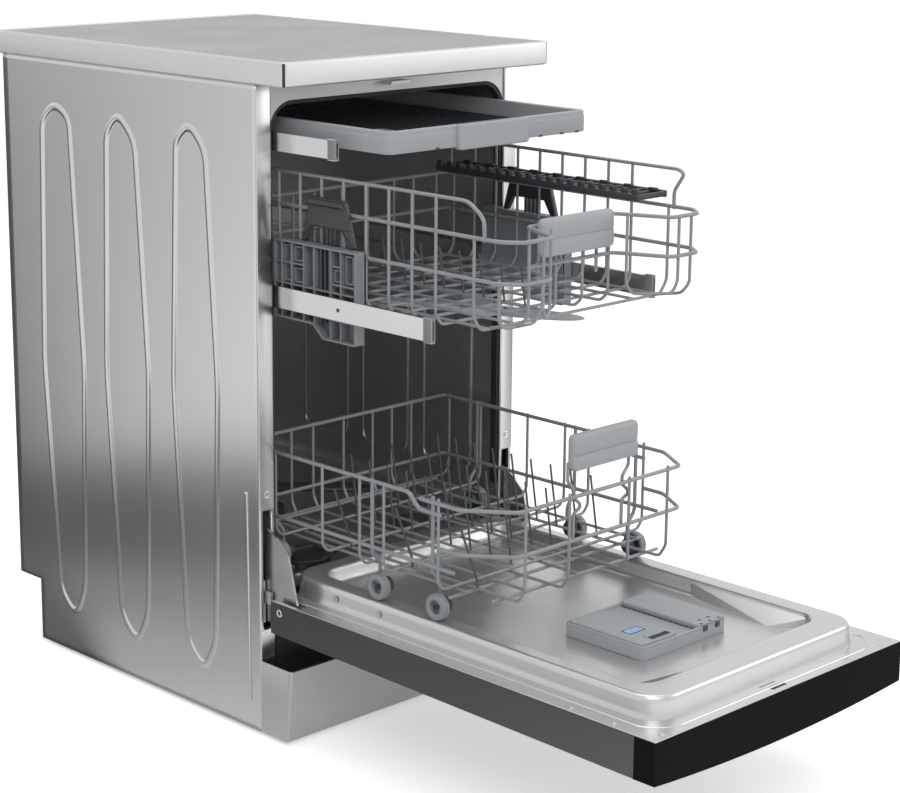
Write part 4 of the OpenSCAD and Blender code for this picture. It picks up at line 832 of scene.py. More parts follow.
@dataclass(frozen=True)
class Rack:
    """What both baskets share: wire sizes, rows of ribbed pins and moulded handles."""

    frame_d: float = 5.0
    grid_d: float = 3.8
    pin_d: float = 3.0
    foot_d: float = 3.3
    pin_pitch: float = 34.0
    pin_count: int = 9

    def handle(self, half: float, y0: float, y1: float, z0: float, z1: float, crease: float) -> Shape:
        """Builds a handle plate: a section with a creased face, carried along X and drawn in at its ends.

        Args:
            half: Its half length along X.
            y0: The plane of its front face.
            y1: The plane of its rear face.
            z0: Its lower edge.
            z1: Its upper edge.
            crease: The height of the crease.

        Returns:
            The closed plate.
        """
        r, end = 4.0, 7.0
        face = [(y0, z0 + r), (y0 + 0.4, crease - 1.2), (y0 + 2.6, crease + 0.6), (y0 + 1.2, crease + 3.4)]
        front = [(y1 - r, z0), (y0 + r, z0), (y0 + 1.2, z0 + 1.2), *face, (y0 + 0.8, z1 - r),
                 (y0 + 2.0, z1 - 1.2)]
        back = [(y0 + r, z1), (y1 - r, z1), (y1 - 1.2, z1 - 1.2), (y1, z1 - r), (y1, z0 + r),
                (y1 - 1.2, z0 + 1.2)]
        section = np.array(front + back)
        rise = end * (1 - np.sin(np.linspace(0, np.pi / 2, 6)))
        xs = np.sort(np.concatenate([-half + rise, half - rise]))
        from_end = np.minimum(half - np.abs(xs), end)
        draw = end - np.sqrt(np.maximum(end**2 - (end - from_end) ** 2, 0.0))
        middle = np.array([(y0 + y1) / 2, (z0 + z1) / 2])
        size = np.array([(y1 - y0) / 2, (z1 - z0) / 2])
        share = 1 - draw[:, None] / size[None] * np.array([0.45, 1.0])
        flat = middle + (section - middle)[None] * share[:, None]
        return loft(np.concatenate([np.repeat(xs[:, None, None], len(section), axis=1), flat], axis=-1))

    def ribbed(self, path: Sequence[Sequence[float]]) -> Shape:
        """Builds one pin: a bent rod whose radius is a tenth over and under its mean by turns."""
        p = fillet(path, 12, 4)
        along = np.concatenate([[0], np.cumsum(np.linalg.norm(np.diff(p, axis=0), axis=1))])
        at = np.linspace(0, along[-1], int(along[-1] / 1.5))
        centre = np.stack([np.interp(at, along, p[:, k]) for k in range(3)], axis=1)
        sides = 6
        rod = tube(centre, 1.0, sides)
        rings = rod.points[sides:-sides].reshape(-1, sides, 3)
        swell = self.pin_d / 2 * (1.0 + 0.1 * (-1.0) ** np.arange(len(at)))[:, None, None]
        rings = centre[:, None] + (rings - centre[:, None]) * swell
        foot = centre[:1, None] + (rings[:1] - centre[:1, None]) * 0.5
        tip = centre[-1:, None] + (rings[-1:] - centre[-1:, None]) * 0.5 + (centre[-1] - centre[-2]) * 0.4
        return loft(np.concatenate([foot, rings, tip]))

    def pins(self, x: float, y0: float, foot_z: float, height: float, lean: float) -> tuple[Shape, Shape]:
        """Builds a row of ribbed pins and the wire that they stand on.

        Args:
            x: The row's place.
            y0: The first pin's place.
            foot_z: The foot wire's height.
            height: The pins' height over the foot wire.
            lean: How far a pin's tip stands behind its foot.

        Returns:
            The foot wire and the pins.
        """
        ends = [(x, y0 - 3, foot_z), (x, y0 + self.pin_pitch * (self.pin_count - 1) + 3, foot_z)]
        bend, tip = (x, y0 + lean * 0.3, foot_z + height * 0.3), (x, y0 + lean, foot_z + height)
        pin = self.ribbed([(x, y0, foot_z), bend, tip])
        row = repeated(pin, [(0, self.pin_pitch * k, 0) for k in range(self.pin_count)])
        return tube(np.array(ends), self.foot_d / 2), row


@dataclass(frozen=True)
class LowerRack(Rack):
    """The lower basket: rims, wires bent down the sides and under, three rows of pins, handle and wheels."""

    half: float = 180.0
    front: float = -313.0
    rear: float = 135.0
    corner: tuple[float, float] = (142.0, -256.0)
    rim: float = 357.0
    side_rim: float = 275.0
    front_rims: tuple[tuple[float, float, float], ...] = ((-191.0, 354.0, 1.5), (-224.0, 300.5, 2.0))
    floor: float = 248.0
    hoop_y: tuple[float, ...] = (-222.0, -130.0, -88.0, -21.0, 66.0, 126.0)
    run_x: tuple[float, ...] = (-132.0, -95.0, -58.0, -5.0, 47.0, 82.0, 118.0)
    short_x: tuple[float, ...] = (-95.0, -5.0, 82.0)
    strut_y: tuple[float, ...] = (-211.0, -108.0, 70.0)
    leaning_y: tuple[float, ...] = (-241.0, -132.0, -23.0)
    wheel_y: tuple[float, float, float] = (-216.0, -116.0, 65.0)
    wheel_z: float = 226.3
    wheel_r: float = 16.0
    wheel_x: tuple[float, float] = (170.0, 181.0)
    pin_x: tuple[float, ...] = (14.0, 96.0)
    pin_y: float = -222.0
    pin_z: float = 252.7
    pin_height: float = 78.0
    pin_lean: float = 13.0
    folding_x: float = -58.0
    folding_z: float = 252.9

    def rims_round(self) -> list[Shape]:
        """Builds the rims: a rear one on each level, stepped down at its front ends, and a front one."""
        h, (corner_x, corner_y) = self.half, self.corner
        upper = [(h, self.rear, self.rim), (h, -172, self.rim), (h, -187, self.rim - 16.5),
                 (h, -224, self.rim - 17.5)]
        lower = [(h, self.rear, self.side_rim), (h, -247, self.side_rim + 0.5)]
        parts = [wire([*mirror_path(row), *row], self.frame_d, 7.0) for row in (upper, lower)]
        for start, z, rise in self.front_rims:
            row = [(corner_x, self.front, z + rise), (h, corner_y, z), (h, start, z)]
            left = [(x, y, z - 1) for x, y, z in mirror_path(row)]
            parts.append(wire([*left, *row], self.frame_d, 8.0))
        return parts

    def brackets(self) -> list[Shape]:
        """Builds the two bent wires that hold the handle, and the struts that reach down to the wheels."""
        y = self.front + 4
        parts = []
        for x, side, knee in ((-57.0, -46.0, -35.0), (50.0, 39.0, 50.0)):
            steps = [(x, 396), (x, 374), (side, 362), (side, 352), (knee, 343), (knee, 338), (side, 333),
                     (side, 300)]
            parts.append(wire([(px, y, pz) for px, pz in steps], 4.2, 3.0))
        for y in self.strut_y:
            steps = [(self.half - 1, self.rim + 2), (self.half - 1, 268), (166, 254), (166, 224)]
            parts.append(wire([(px, y, pz) for px, pz in steps], 4.8, 6.0).both_sides())
        return parts

    def wires(self) -> Shape:
        """Builds the hoops across the basket and along it, down the walls and bent in at the foot."""
        h, z0, up, front, rear = self.half, self.floor, self.rim, self.front, self.rear
        low = z0 - 4.0
        parts = self.rims_round()
        for y in self.hoop_y:
            half = [(h + 1, y, up + 2), (h + 1, y, 258), (h - 8, y, z0)]
            parts.append(wire([*half, *mirror_path(half)], self.grid_d, 5.0))
        for x in self.run_x:
            start = [(front - 1, up + 3), (front - 1, 260), (front + 9, low)]
            steps = [(front + 34, low)] if x in self.short_x else start
            steps = [*steps, (rear - 10, low), (rear + 1, 262), (rear + 1, up + 2)]
            parts.append(wire([(x, y, z) for y, z in steps], self.grid_d, 5.0))
        for y, z, half in ((-232.0, z0 - 7.6, 172.0), (-277.0, z0 - 7.6, 146.0), (rear - 18, z0, 150.0)):
            parts.append(wire([(-half, y, z), (half, y, z)], self.grid_d + 0.4))
        for x in (-150.0, 150.0):
            parts.append(wire([(x, -240, low), (x, rear - 12, low)], self.grid_d))
        return Shape.join([*parts, *self.brackets()])

    def wheel(self, y: float) -> Shape:
        """Builds a pair of wheels: a broad rounded rim round a deep hollow with a ring at its foot."""
        r, (a, b) = self.wheel_r, self.wheel_x
        tread = [(3.4, a), (6, a), (r - 1.6, a), (r - 0.4, a + 0.8), (r, a + 2.2), (r, b - 2.6),
                 (r - 0.8, b - 0.8)]
        hollow = [(r - 2.4, b), (r - 5.6, b), (r - 7.2, b - 1), (r - 7.8, b - 3), (r - 8.2, a + 4.6),
                  (6.2, a + 4.4)]
        ring = [(5.8, a + 6.4), (4.6, a + 6.6), (3.4, a + 6.6)]
        return lathe([*tread, *hollow, *ring], (0, y, self.wheel_z), "X", 40).both_sides()

    def core(self, y: float) -> Shape:
        """Builds the dark spoked discs on the inner faces of a pair of wheels."""
        z, a = self.wheel_z, self.wheel_x[0]
        band = lathe([(11.4, a - 1.6), (13.6, a - 1.6), (13.9, a - 0.1), (11.4, a - 0.1)], (0, y, z), "X", 32)
        boss = lathe([(3.3, a - 2), (5.4, a - 2), (5.8, a - 0.1), (3.3, a - 0.1)], (0, y, z), "X", 24)
        disc = lathe([(3.3, a - 0.7), (12, a - 0.7), (12, a - 0.05), (3.3, a - 0.05)], (0, y, z), "X", 32)
        spoke = block((a - 1.6, y - 1.0, z + 5.2), (a - 0.4, y + 1.0, z + 12.0), 0.3)
        return Shape.join([band, boss, disc, around(spoke, 6, "X", (0, y, z))]).both_sides()

    def carriers(self) -> Shape:
        """Builds the blocks that hold the wheels, and the capped pins of the front and middle ones."""
        bush = [(3.2, 158.6), (8.6, 158.6), (9.4, 159.4), (9.4, 166), (8.2, 168.4), (3.2, 168.4)]
        pin = [(1, 158.7), (2.9, 158.7), (2.9, 176.7), (4.4, 176.8), (4.4, 178.6), (3.8, 179.2),
               (2.0, 179.2), (1.6, 178), (1, 178)]
        parts = []
        for y in self.wheel_y:
            parts.append(lathe(bush, (0, y, self.wheel_z), "X", 28).both_sides())
            if y < 0:
                parts.append(lathe(pin, (0, y, self.wheel_z), "X", 20).both_sides())
        return Shape.join(parts)

    def build(self, dresser: "Dresser") -> None:
        """Makes the lower basket's pieces."""
        dresser.piece("lower_basket_wires", self.wires(), Finish.WIRE, "lower_basket", ["lower_basket"])
        dresser.piece("wheel_carriers", self.carriers(), Finish.SLATE, "lower_basket")
        for name, y in zip(("wheels_front", "wheels_middle", "wheels_rear"), self.wheel_y):
            dresser.piece(name + "_turned", self.wheel(y), Finish.WHEEL, name, [name])
            dresser.piece(name + "_cores", self.core(y), Finish.SLATE, name)
        plate = self.handle(57, -319.5, -306.5, 386, 430, 404)
        dresser.piece("lower_handle_plate", plate, Finish.BLUE_GREY, "lower_basket", ["lower_handle"])
        size = (self.pin_height, self.pin_lean)
        feet, rows = zip(*[self.pins(x, self.pin_y, self.pin_z, *size) for x in self.pin_x])
        leaning = [self.ribbed([(-139, y - 4, 248), (-139, y - 4, 256), (-160, y + 4, 324)])
                   for y in self.leaning_y]
        dresser.piece("fixed_pins", Shape.join([*rows, *leaning]), Finish.PIN, "lower_basket")
        dresser.piece("fixed_pin_feet", Shape.join(feet), Finish.WIRE, "lower_basket")
        foot, row = self.pins(self.folding_x, self.pin_y, self.folding_z, *size)
        dresser.piece("folding_pins", row, Finish.PIN, "lower_tines", ["lower_tines"])
        dresser.piece("folding_pin_feet", foot, Finish.WIRE, "lower_tines")


@dataclass(frozen=True)
class UpperRack(Rack):
    """The upper basket: rings with two noses, raised rims, folding shelf, height levers and rail ends."""

    half: float = 167.5
    nose_y: float = -322.0
    side_y: float = -300.0
    recess_y: float = -254.0
    rear: float = 118.0
    rims: tuple[float, float] = (667.0, 620.0)
    floor: float = 557.0
    raised: tuple[float, float] = (707.0, 713.0)
    low_nose: float = 621.0
    shelf_x: tuple[float, float] = (109.6, 165.2)
    shelf_y: tuple[float, float] = (-261.8, 83.8)
    shelf_z: tuple[float, float] = (678.0, 686.3)
    box_x: tuple[float, float] = (170.4, 187.8)
    rail_x: tuple[float, float] = (-194.75, -188.0)
    pin_foot: tuple[float, float, float] = (-30.0, -212.0, 562.0)
    pin_height: float = 52.0
    pin_lean: float = 9.0

    def ring(self, z: float) -> Shape:
        """Builds a level ring: straight sides, and two noses at the front with a recess between them."""
        h, nose = self.half, self.nose_y
        right = [(74, self.recess_y, z), (104, nose, z), (150, nose, z), (h, self.side_y, z),
                 (h, self.rear, z)]
        return tube(fillet([*mirror_path(right), *right], 8.0, 5, closed=True), self.frame_d / 2, closed=True)

    def raised_rims(self) -> list[Shape]:
        """Builds the raised rim on each side, the right one hooked, and the wires that carry them."""
        h, up, (left, right) = self.half, self.rims[0], self.raised
        parts = [
            wire([(-h, -278, up - 2), (-h, -277, 690), (-h, -252, left), (-h, 112, left), (-h, 112, up)],
                 4.6, 9),
            wire([(h, -270, up - 2), (h, -270, 686), (h, -285, right - 5), (h, -276, right), (h, 112, right),
                  (h, 112, up)], 4.6, 5),
        ]
        for x, top in ((-h - 1, left + 1), (h + 1, right + 1)):
            parts += [wire([(x, y, up - 2), (x, y, top)], self.grid_d) for y in np.linspace(-202.0, 69.25, 8)]
        return parts

    def hoops(self) -> list[Shape]:
        """Builds the bent wires round the two noses at the front."""
        h, z0, up, low = self.half, self.floor, self.rims[0], self.low_nose
        inner = [(66, -284, up + 1), (66, -284, 586), (72, -289, 575), (110, -318, 575), (117, -320.5, 588),
                 (117, -320.5, up + 1)]
        outer = [(140, -320, up + 1), (140, -320, 584), (140, -308, 570), (140, -262, z0 + 4)]
        side = [(h, -262, up + 1), (h, -262, 576), (h - 12, -262, z0 + 3), (0, -262, z0 + 3)]
        parts = [wire(hoop, self.grid_d, 6.0).both_sides() for hoop in (inner, outer, side)]
        corner = [(-156, -290, low), (-156, -290, 574), (-150, -294, 566), (-124, -314, 572),
                  (-118, -320.5, 590), (-118, -320.5, low)]
        return [*parts, wire(corner, self.grid_d, 5.0)]

    def wires(self) -> Shape:
        """Builds the basket's wires, bent in at the foot of each wall, and the raised rims."""
        h, z0, up, recess = self.half, self.floor, self.rims[0], self.recess_y
        parts = [self.ring(z) for z in self.rims]
        for y in np.linspace(-202.0, 108.0, 9):
            half = [(h + 1, y, up + 1), (h + 1, y, 570), (h - 9, y, z0 + 1)]
            parts.append(wire([*half, *mirror_path(half)], self.grid_d, 5.0))
        back = [(self.rear - 8, z0 + 4.0), (self.rear + 1, 572), (self.rear + 1, up + 1)]
        front = [(recess + 1, up + 1), (recess + 1, 571), (recess + 12, z0 + 4.0)]
        runs = [(x, front) for x in (-69.0, -23.0, 23.0, 69.0)]
        runs += [(x, [(-262.0, z0 + 4.0)]) for x in (-146.0, -104.0, 104.0, 146.0)]
        parts += [wire([(x, y, z) for y, z in start + back], self.grid_d, 5.0) for x, start in runs]
        parts += self.hoops() + self.raised_rims()
        for x in (-50.0, 50.0):
            parts.append(wire([(x, recess - 4, 652), (x, recess + 3.6, 646), (x, recess + 3.6, 600)], 4.2, 5))
        return Shape.join(parts)

    def lever(self) -> Shape:
        """Builds the right height lever: a plate with two legs, a finger rib and four stiffening ribs."""
        plate = [(-67.9, 648), (14.3, 648), (4, 683.8), (-57, 683.8)]
        legs = [[(-51, 650), (-67.3, 650), (-73.6, 629), (-64, 629)],
                [(0, 650), (12, 629), (19.6, 629), (13.7, 650)]]
        parts = [slab(fillet(c, 2.5, 4, closed=True), 170.5, 177.1, 1.2, Plane.YZ) for c in (plate, *legs)]
        rib = fillet([(2, 682), (-55, 682), (-59, 674), (5, 674)], 3, 4, closed=True)
        parts.append(slab(rib, 176.0, 181.5, 1.4, Plane.YZ))
        bars = [rounded_box(y - 1.4, y + 1.4, 628.8, 652, 1.2, 3) for y in (-40, -33, -26, -19)]
        return Shape.join([*parts, *[slab(bar, 171.0, 176.6, 0.6, Plane.YZ) for bar in bars]])

    def carrier(self) -> tuple[Shape, Shape]:
        """Builds the right carrier: a ribbed box with a stepped lower edge, and painted shade in its
        openings.

        Returns:
            The carrier, and the dark plates that paint the shade in its openings.
        """

        def bars(
            boxes: Sequence[Sequence[float]], low: float, high: float, radius: float, edge: float
        ) -> list[Shape]:
            """Returns a slab on each (y0, y1, z0, z1) rectangle, from low to high along X."""
            return [slab(rounded_box(*box, radius, 2), low, high, edge, Plane.YZ) for box in boxes]

        a, b = self.box_x
        corners = np.array([(58, 628), (-88, 628), (-88, 516.2), (-30, 516.2), (-12, 532), (58, 532)], float)
        outline = fillet(corners, 3.0, 3, closed=True)
        rim = [(0, a + 0.6), (0, b - 0.6), (0.6, b), (2.0, b), (2.4, b - 0.6), (2.4, a + 0.6)]
        parts = [slab(outline, a, a + 3.2, 0.5, Plane.YZ), moulding(outline, rim, Plane.YZ)]
        tall = [(-62, 518), (-44, 518), (-15, 532), (4, 534), (26, 534), (44, 534)]
        wide = [(-87, -45, 541), (-87, 57, 574), (-87, -45, 584), (3, 57, 600), (-87, 57, 542),
                (-62, -45, 606)]
        parts += bars([(y, y + 1.8, low, 626) for y, low in tall], a + 1.6, b - 0.8, 0.6, 0.5)
        parts += bars([(y0, y1, z, z + 1.8) for y0, y1, z in wide], a + 1.6, b - 1.4, 0.6, 0.5)
        boxes = [(-80, -66, 588, 622), (-60, -47, 588, 603), (8, 24, 578, 596), (29, 42, 578, 622),
                 (8, 24, 604, 622)]
        wall = [(0, 173), (0, 183), (1.4, 183), (1.4, 173)]
        parts += [moulding(rounded_box(*box, 1.5, 2), wall, Plane.YZ) for box in boxes]
        # Dark plates in the pockets and openings: painted shade, not dark plastic.
        inside = [(y0 + 2.5, y1 - 2.5, z0 + 3, z1 - 3) for y0, y1, z0, z1 in boxes]
        dark = bars(inside, 173.2, 174.2, 1.0, 0.2)
        dark += bars([(-40, -18, 534, 627)], 173.4, 180.0, 1.5, 0.6)
        dark += bars([(y - 1.4, y + 1.4, 536, 627) for y in (-38, -31, -24)], 179.0, 184.6, 1.2, 0.6)
        return Shape.join(parts), Shape.join(dark)

    def shelf(self) -> Shape:
        """Builds the folding shelf: side bars, slats between them, and teeth along both its edges."""
        (x0, x1), (y0, y1), (low, high) = self.shelf_x, self.shelf_y, self.shelf_z
        parts = [block((x, y0, low), (x + 6, y1, high), 1.2, 2.4) for x in (x0, x1 - 6)]
        ribs = np.linspace(y0, y1 - 5, 22)
        parts += [block((x0 + 3, y, low + 1), (x1 - 3, y + 5, high - 0.9), 0.9, 1.2) for y in ribs]
        parts += [block((x0 + 0.4, y, high - 0.7), (x0 + 5.4, y + 9, high + 6.1), 1.2, 1.6)
                  for y in np.linspace(y0 + 2, y1 - 11, 20)]
        parts += [block((x1 - 12.0, y, high - 1.3), (x1 - 7.0, y + 14, high + 2.7), 1.0, 1.6)
                  for y in np.linspace(y0 + 8, y1 - 22, 9)]
        return Shape.join(parts)

    def rail_ends(self, z: float, h: float, y: float) -> tuple[Shape, Shape]:
        """Builds the plastic ends of a pair of rails.

        Args:
            z: The rail's height.
            h: The end's height.
            y: The end's front face.

        Returns:
            The ends, and the dark plates that paint the shade of their hollows, with their dark screws.
        """
        (x0, x1), half = self.rail_x, h / 2
        parts = [block((x0, y, z - half), (x1, y + 14, z + half), 1.2, 1.4)]
        for k in range(3):
            at = y + 3 + 3.2 * k
            parts.append(block((x0 - 0.1, at, z - half + 2), (x0 + 1, at + 1.4, z + half - 2), 0.4))
        # A dark plate in the end's front face: painted shade for its hollow.
        hole = block((x0 + 1.6, y - 0.3, z - half + 4), (x1 - 1.6, y + 3, z + half - 4), 0.2)
        screw = lathe([(0.5, -0.35), (2.4, -0.35), (2.4, 0.6), (0.5, 0.6)], (x0 + 1.0, y + 158, z), "X", 20)
        return Shape.join(parts).both_sides(), Shape.join([hole, screw]).both_sides()

    def build(self, dresser: "Dresser") -> None:
        """Makes the upper basket's pieces."""
        dresser.piece("upper_basket_wires", self.wires(), Finish.WIRE, "upper_basket", ["upper_basket"])
        plate = self.handle(62, -269.7, -256.7, 631, 676, 651)
        dresser.piece("upper_handle_plate", plate, Finish.BLUE_GREY, "upper_basket", ["upper_handle"])
        foot, row = self.pins(*self.pin_foot, self.pin_height, self.pin_lean)
        dresser.piece("upper_pins", row, Finish.PIN, "upper_tines", ["upper_tines"])
        dresser.piece("upper_pin_feet", foot, Finish.WIRE, "upper_tines")
        lever = self.lever()
        dresser.piece("lever_right_plate", lever, Finish.SLATE, "lever_right", ["lever_right"])
        dresser.piece("lever_left_plate", lever.mirrored(), Finish.SLATE, "lever_left", ["lever_left"])
        dresser.piece("shelf_slatted", self.shelf(), Finish.SLATE, "folding_shelf", ["folding_shelf"])
        box, dark = self.carrier()
        dresser.piece("carriers_ribbed", box.both_sides(), Finish.CARRIER, "upper_carriers",
                      ["upper_carriers"])
        # Painted shade: the dark plates in the carriers' openings.
        dresser.piece("carrier_opening_shade", dark.both_sides(), Finish.SLATE, "upper_carriers")
        for rail, z, h, y in (("upper", 558.0, 29.4, -222.4), ("tray", 746.0, 24.4, -61.4)):
            ends, holes = self.rail_ends(z, h, y)
            dresser.piece(rail + "_rail_ends", ends, Finish.CARRIER, rail + "_rails")
            # Painted shade in the ends' hollows, and the dark screws.
            dresser.piece(rail + "_rail_hollow_shade_and_screws", holes, Finish.SLATE, rail + "_rails")


@dataclass(frozen=True)
class TopTray:
    """The top tray: a moulded frame with round corners, a grip, runners, and a slatted insert."""

    half: float = 170.0
    front: float = -126.0
    rear: float = 314.0
    low: float = 745.0
    high: float = 771.0
    insert_x: tuple[float, float] = (-160.0, -92.0)
    insert_y: tuple[float, float] = (-114.0, -28.0)
    notch_x: tuple[float, ...] = (-92.0, 84.0, 122.0, 150.0)

    def frame(self) -> Shape:
        """Builds the frame: a stepped wall section carried round a rectangle with round corners."""
        low, high = self.low, self.high
        wall = [(0.3, low), (0, low + 1), (0, high - 7), (0.9, high - 6), (0.9, high - 1), (1.8, high),
                (7.4, high), (8.4, high - 1), (8.6, low + 9), (8.6, low)]
        ring = moulding(rounded_box(-self.half, self.half, self.front, self.rear, 12.0, 7), wall)
        runners = block((self.half - 1, -35, low - 3.8), (187.8, 304.8, low + 5.8), 1.0, 2.0).both_sides()
        grip = [(-58, high), (-60, high - 3), (-60, 743), (-57, 741), (57, 741), (60, 743),
                (60, high - 3), (58, high)]
        handle = slab(np.array(grip, float), self.front - 3.9, self.front + 6, 1.6, Plane.XZ)
        return Shape.join([ring, runners, handle])

    def insert(self) -> Shape:
        """Builds the pale slatted insert that lies at the left front."""
        (x0, x1), (y0, y1) = self.insert_x, self.insert_y
        rim = moulding(rounded_box(x0, x1, y0, y1, 6.0, 4), [(0, 752), (0, 760), (2.5, 760), (2.5, 752)])
        slats = [block((x, y0 + 2, 753), (x + 2.6, y1 - 2, 759), 0.5) for x in np.linspace(x0 + 6, x1 - 8, 8)]
        return Shape.join([rim, *slats])

    def notches(self) -> Shape:
        """Builds dark blocks that paint the shade of the notches in the lower edge of the frame's front."""
        y, z = self.front, self.low
        return Shape.join([block((x - 4, y - 0.3, z - 0.4), (x + 4, y + 3, z + 2.2), 0.2)
                           for x in self.notch_x])

    def build(self, dresser: "Dresser") -> None:
        """Makes the tray's pieces."""
        dresser.piece("tray_frame_moulded", self.frame(), Finish.BLUE_GREY, "tray", ["tray_frame"])
        dresser.piece("tray_insert", self.insert(), Finish.BLUE_GREY, "tray")
        # Painted shade: dark blocks that stand for the frame's notches.
        dresser.piece("tray_notch_shade", self.notches(), Finish.SLATE, "tray")


@dataclass(frozen=True)
class Dispenser:
    """The dispenser in the door: its body, the sliding lid with a level window, and the hinged flap."""

    x: tuple[float, float] = (-66.0, 84.0)
    y: tuple[float, float] = (-438.0, -316.0)
    foot: float = 190.3
    deck: float = 203.0
    rim: float = 207.4
    lid_x: tuple[float, float] = (-62.4, -1.3)
    lid_top: float = 208.8
    flap_x: tuple[float, float] = (32.8, 83.8)
    flap_top: float = 209.4
    corner: float = 7.0

    def body(self) -> Shape:
        """Builds the body: a base with a wall round it, and a bridge between the lid and the flap."""
        (x0, x1), (y0, y1), deck, rim = self.x, self.y, self.deck, self.rim
        outline = rounded_box(x0, x1, y0, y1, self.corner, 6)
        wall = [(0.2, deck - 1), (0.2, rim - 1), (1.0, rim), (2.0, rim), (2.6, rim - 1), (2.6, deck - 1)]
        bridge = block((1.2, y0 + 2.4, deck - 1), (31.6, y1 - 2.4, deck + 0.4), 0.3)
        return Shape.join([slab(outline, self.foot, deck, 1.2), moulding(outline, wall), bridge])

    def seams(self) -> Shape:
        """Builds the dark dashes beside the flap, and dark blocks that paint the shade of the two slots in
        the front wall.
        """
        y0, y1 = self.y
        dashes = [block((31.0, y, 203.2), (32.5, y + 5, 203.8), 0.1) for y in np.arange(y0 + 8, y1 - 8, 8.0)]
        # Dark blocks in the front wall: painted shade for its slots.
        slots = [block((x, y0 - 0.35, 200), (x + 9, y0 + 1, 206.6), 0.1) for x in (40, 62)]
        return Shape.join([*dashes, *slots])

    def lid(self) -> Shape:
        """Builds the sliding lid with its grip rib and the lip along its front."""
        (x0, x1), (y0, y1), top = self.lid_x, self.y, self.lid_top
        plate = slab(rounded_box(x0, x1, y0 + 3.6, y1 - 3.6, 5.0, 5), 203.5, top, 1.2)
        slat = block((-40, -421, top - 0.6), (-6, -413, top + 1.0), 0.5, 1.0)
        lip = block((-60, -434.3, top - 0.6), (-4, -429.5, top + 0.6), 0.5, 1.2)
        return Shape.join([plate, slat, lip])

    def lid_gaps(self) -> Shape:
        """Builds a dark plate that paints the shade of the gap behind the lid's lip, and the dark frame round
        its window.
        """
        top = self.lid_top
        # A dark plate behind the lip: painted shade for the gap.
        gap = block((-40, -429.4, top - 0.2), (-7, -421.2, top + 0.15), 0.1)
        return Shape.join([gap, block((-46.5, -401.5, top - 0.2), (-19.5, -386.5, top + 0.1), 0.1)])

    def catch(self) -> Shape:
        """Builds dark plates that paint the shade in the openings of the flap's catch."""
        y, top = self.y[0], self.flap_top
        holes = [(38, 0), (54, 0), (70, 0), (46, 9), (62, 9)]
        marks = [block((x, y + 1.6 + dy, top - 0.2), (x + 5, y + 5.4 + dy, top + 0.15), 0.1)
                 for x, dy in holes]
        return Shape.join([*marks, block((36, y + 0.65, 204.4), (80, y + 1.5, 207.6), 0.1)])

    def build(self, dresser: "Dresser") -> None:
        """Makes the dispenser's pieces."""
        (x0, x1), (y0, y1) = self.flap_x, self.y
        dresser.piece("dispenser_body", self.body(), Finish.BLUE_GREY, "door", ["dispenser"])
        # The dark seam beside the flap, and painted shade in the front wall's slots.
        dresser.piece("dispenser_seams_and_slot_shade", self.seams(), Finish.SLATE, "door")
        dresser.piece("detergent_lid_plate", self.lid(), Finish.BLUE_GREY, "detergent_lid", ["detergent_lid"])
        # Painted shade in the gap behind the lip, and the window's dark frame.
        dresser.piece("detergent_lid_gap_shade_and_frame", self.lid_gaps(), Finish.BASE, "detergent_lid")
        window = slab(rounded_box(-45, -21, -400, -388, 2.5, 4), self.lid_top - 0.2, self.lid_top + 0.3, 0.15)
        dresser.piece("detergent_lid_window", window, Finish.WINDOW, "detergent_lid")
        flap = slab(rounded_box(x0, x1, y0 + 1, y1 - 1, 5.0, 5), 203.4, self.flap_top, 1.4)
        dresser.piece("rinse_flap_plate", flap, Finish.BLUE_GREY, "rinse_flap", ["rinse_flap"])
        # Painted shade: dark plates in the catch's openings.
        dresser.piece("rinse_flap_catch_shade", self.catch(), Finish.SLATE, "rinse_flap")


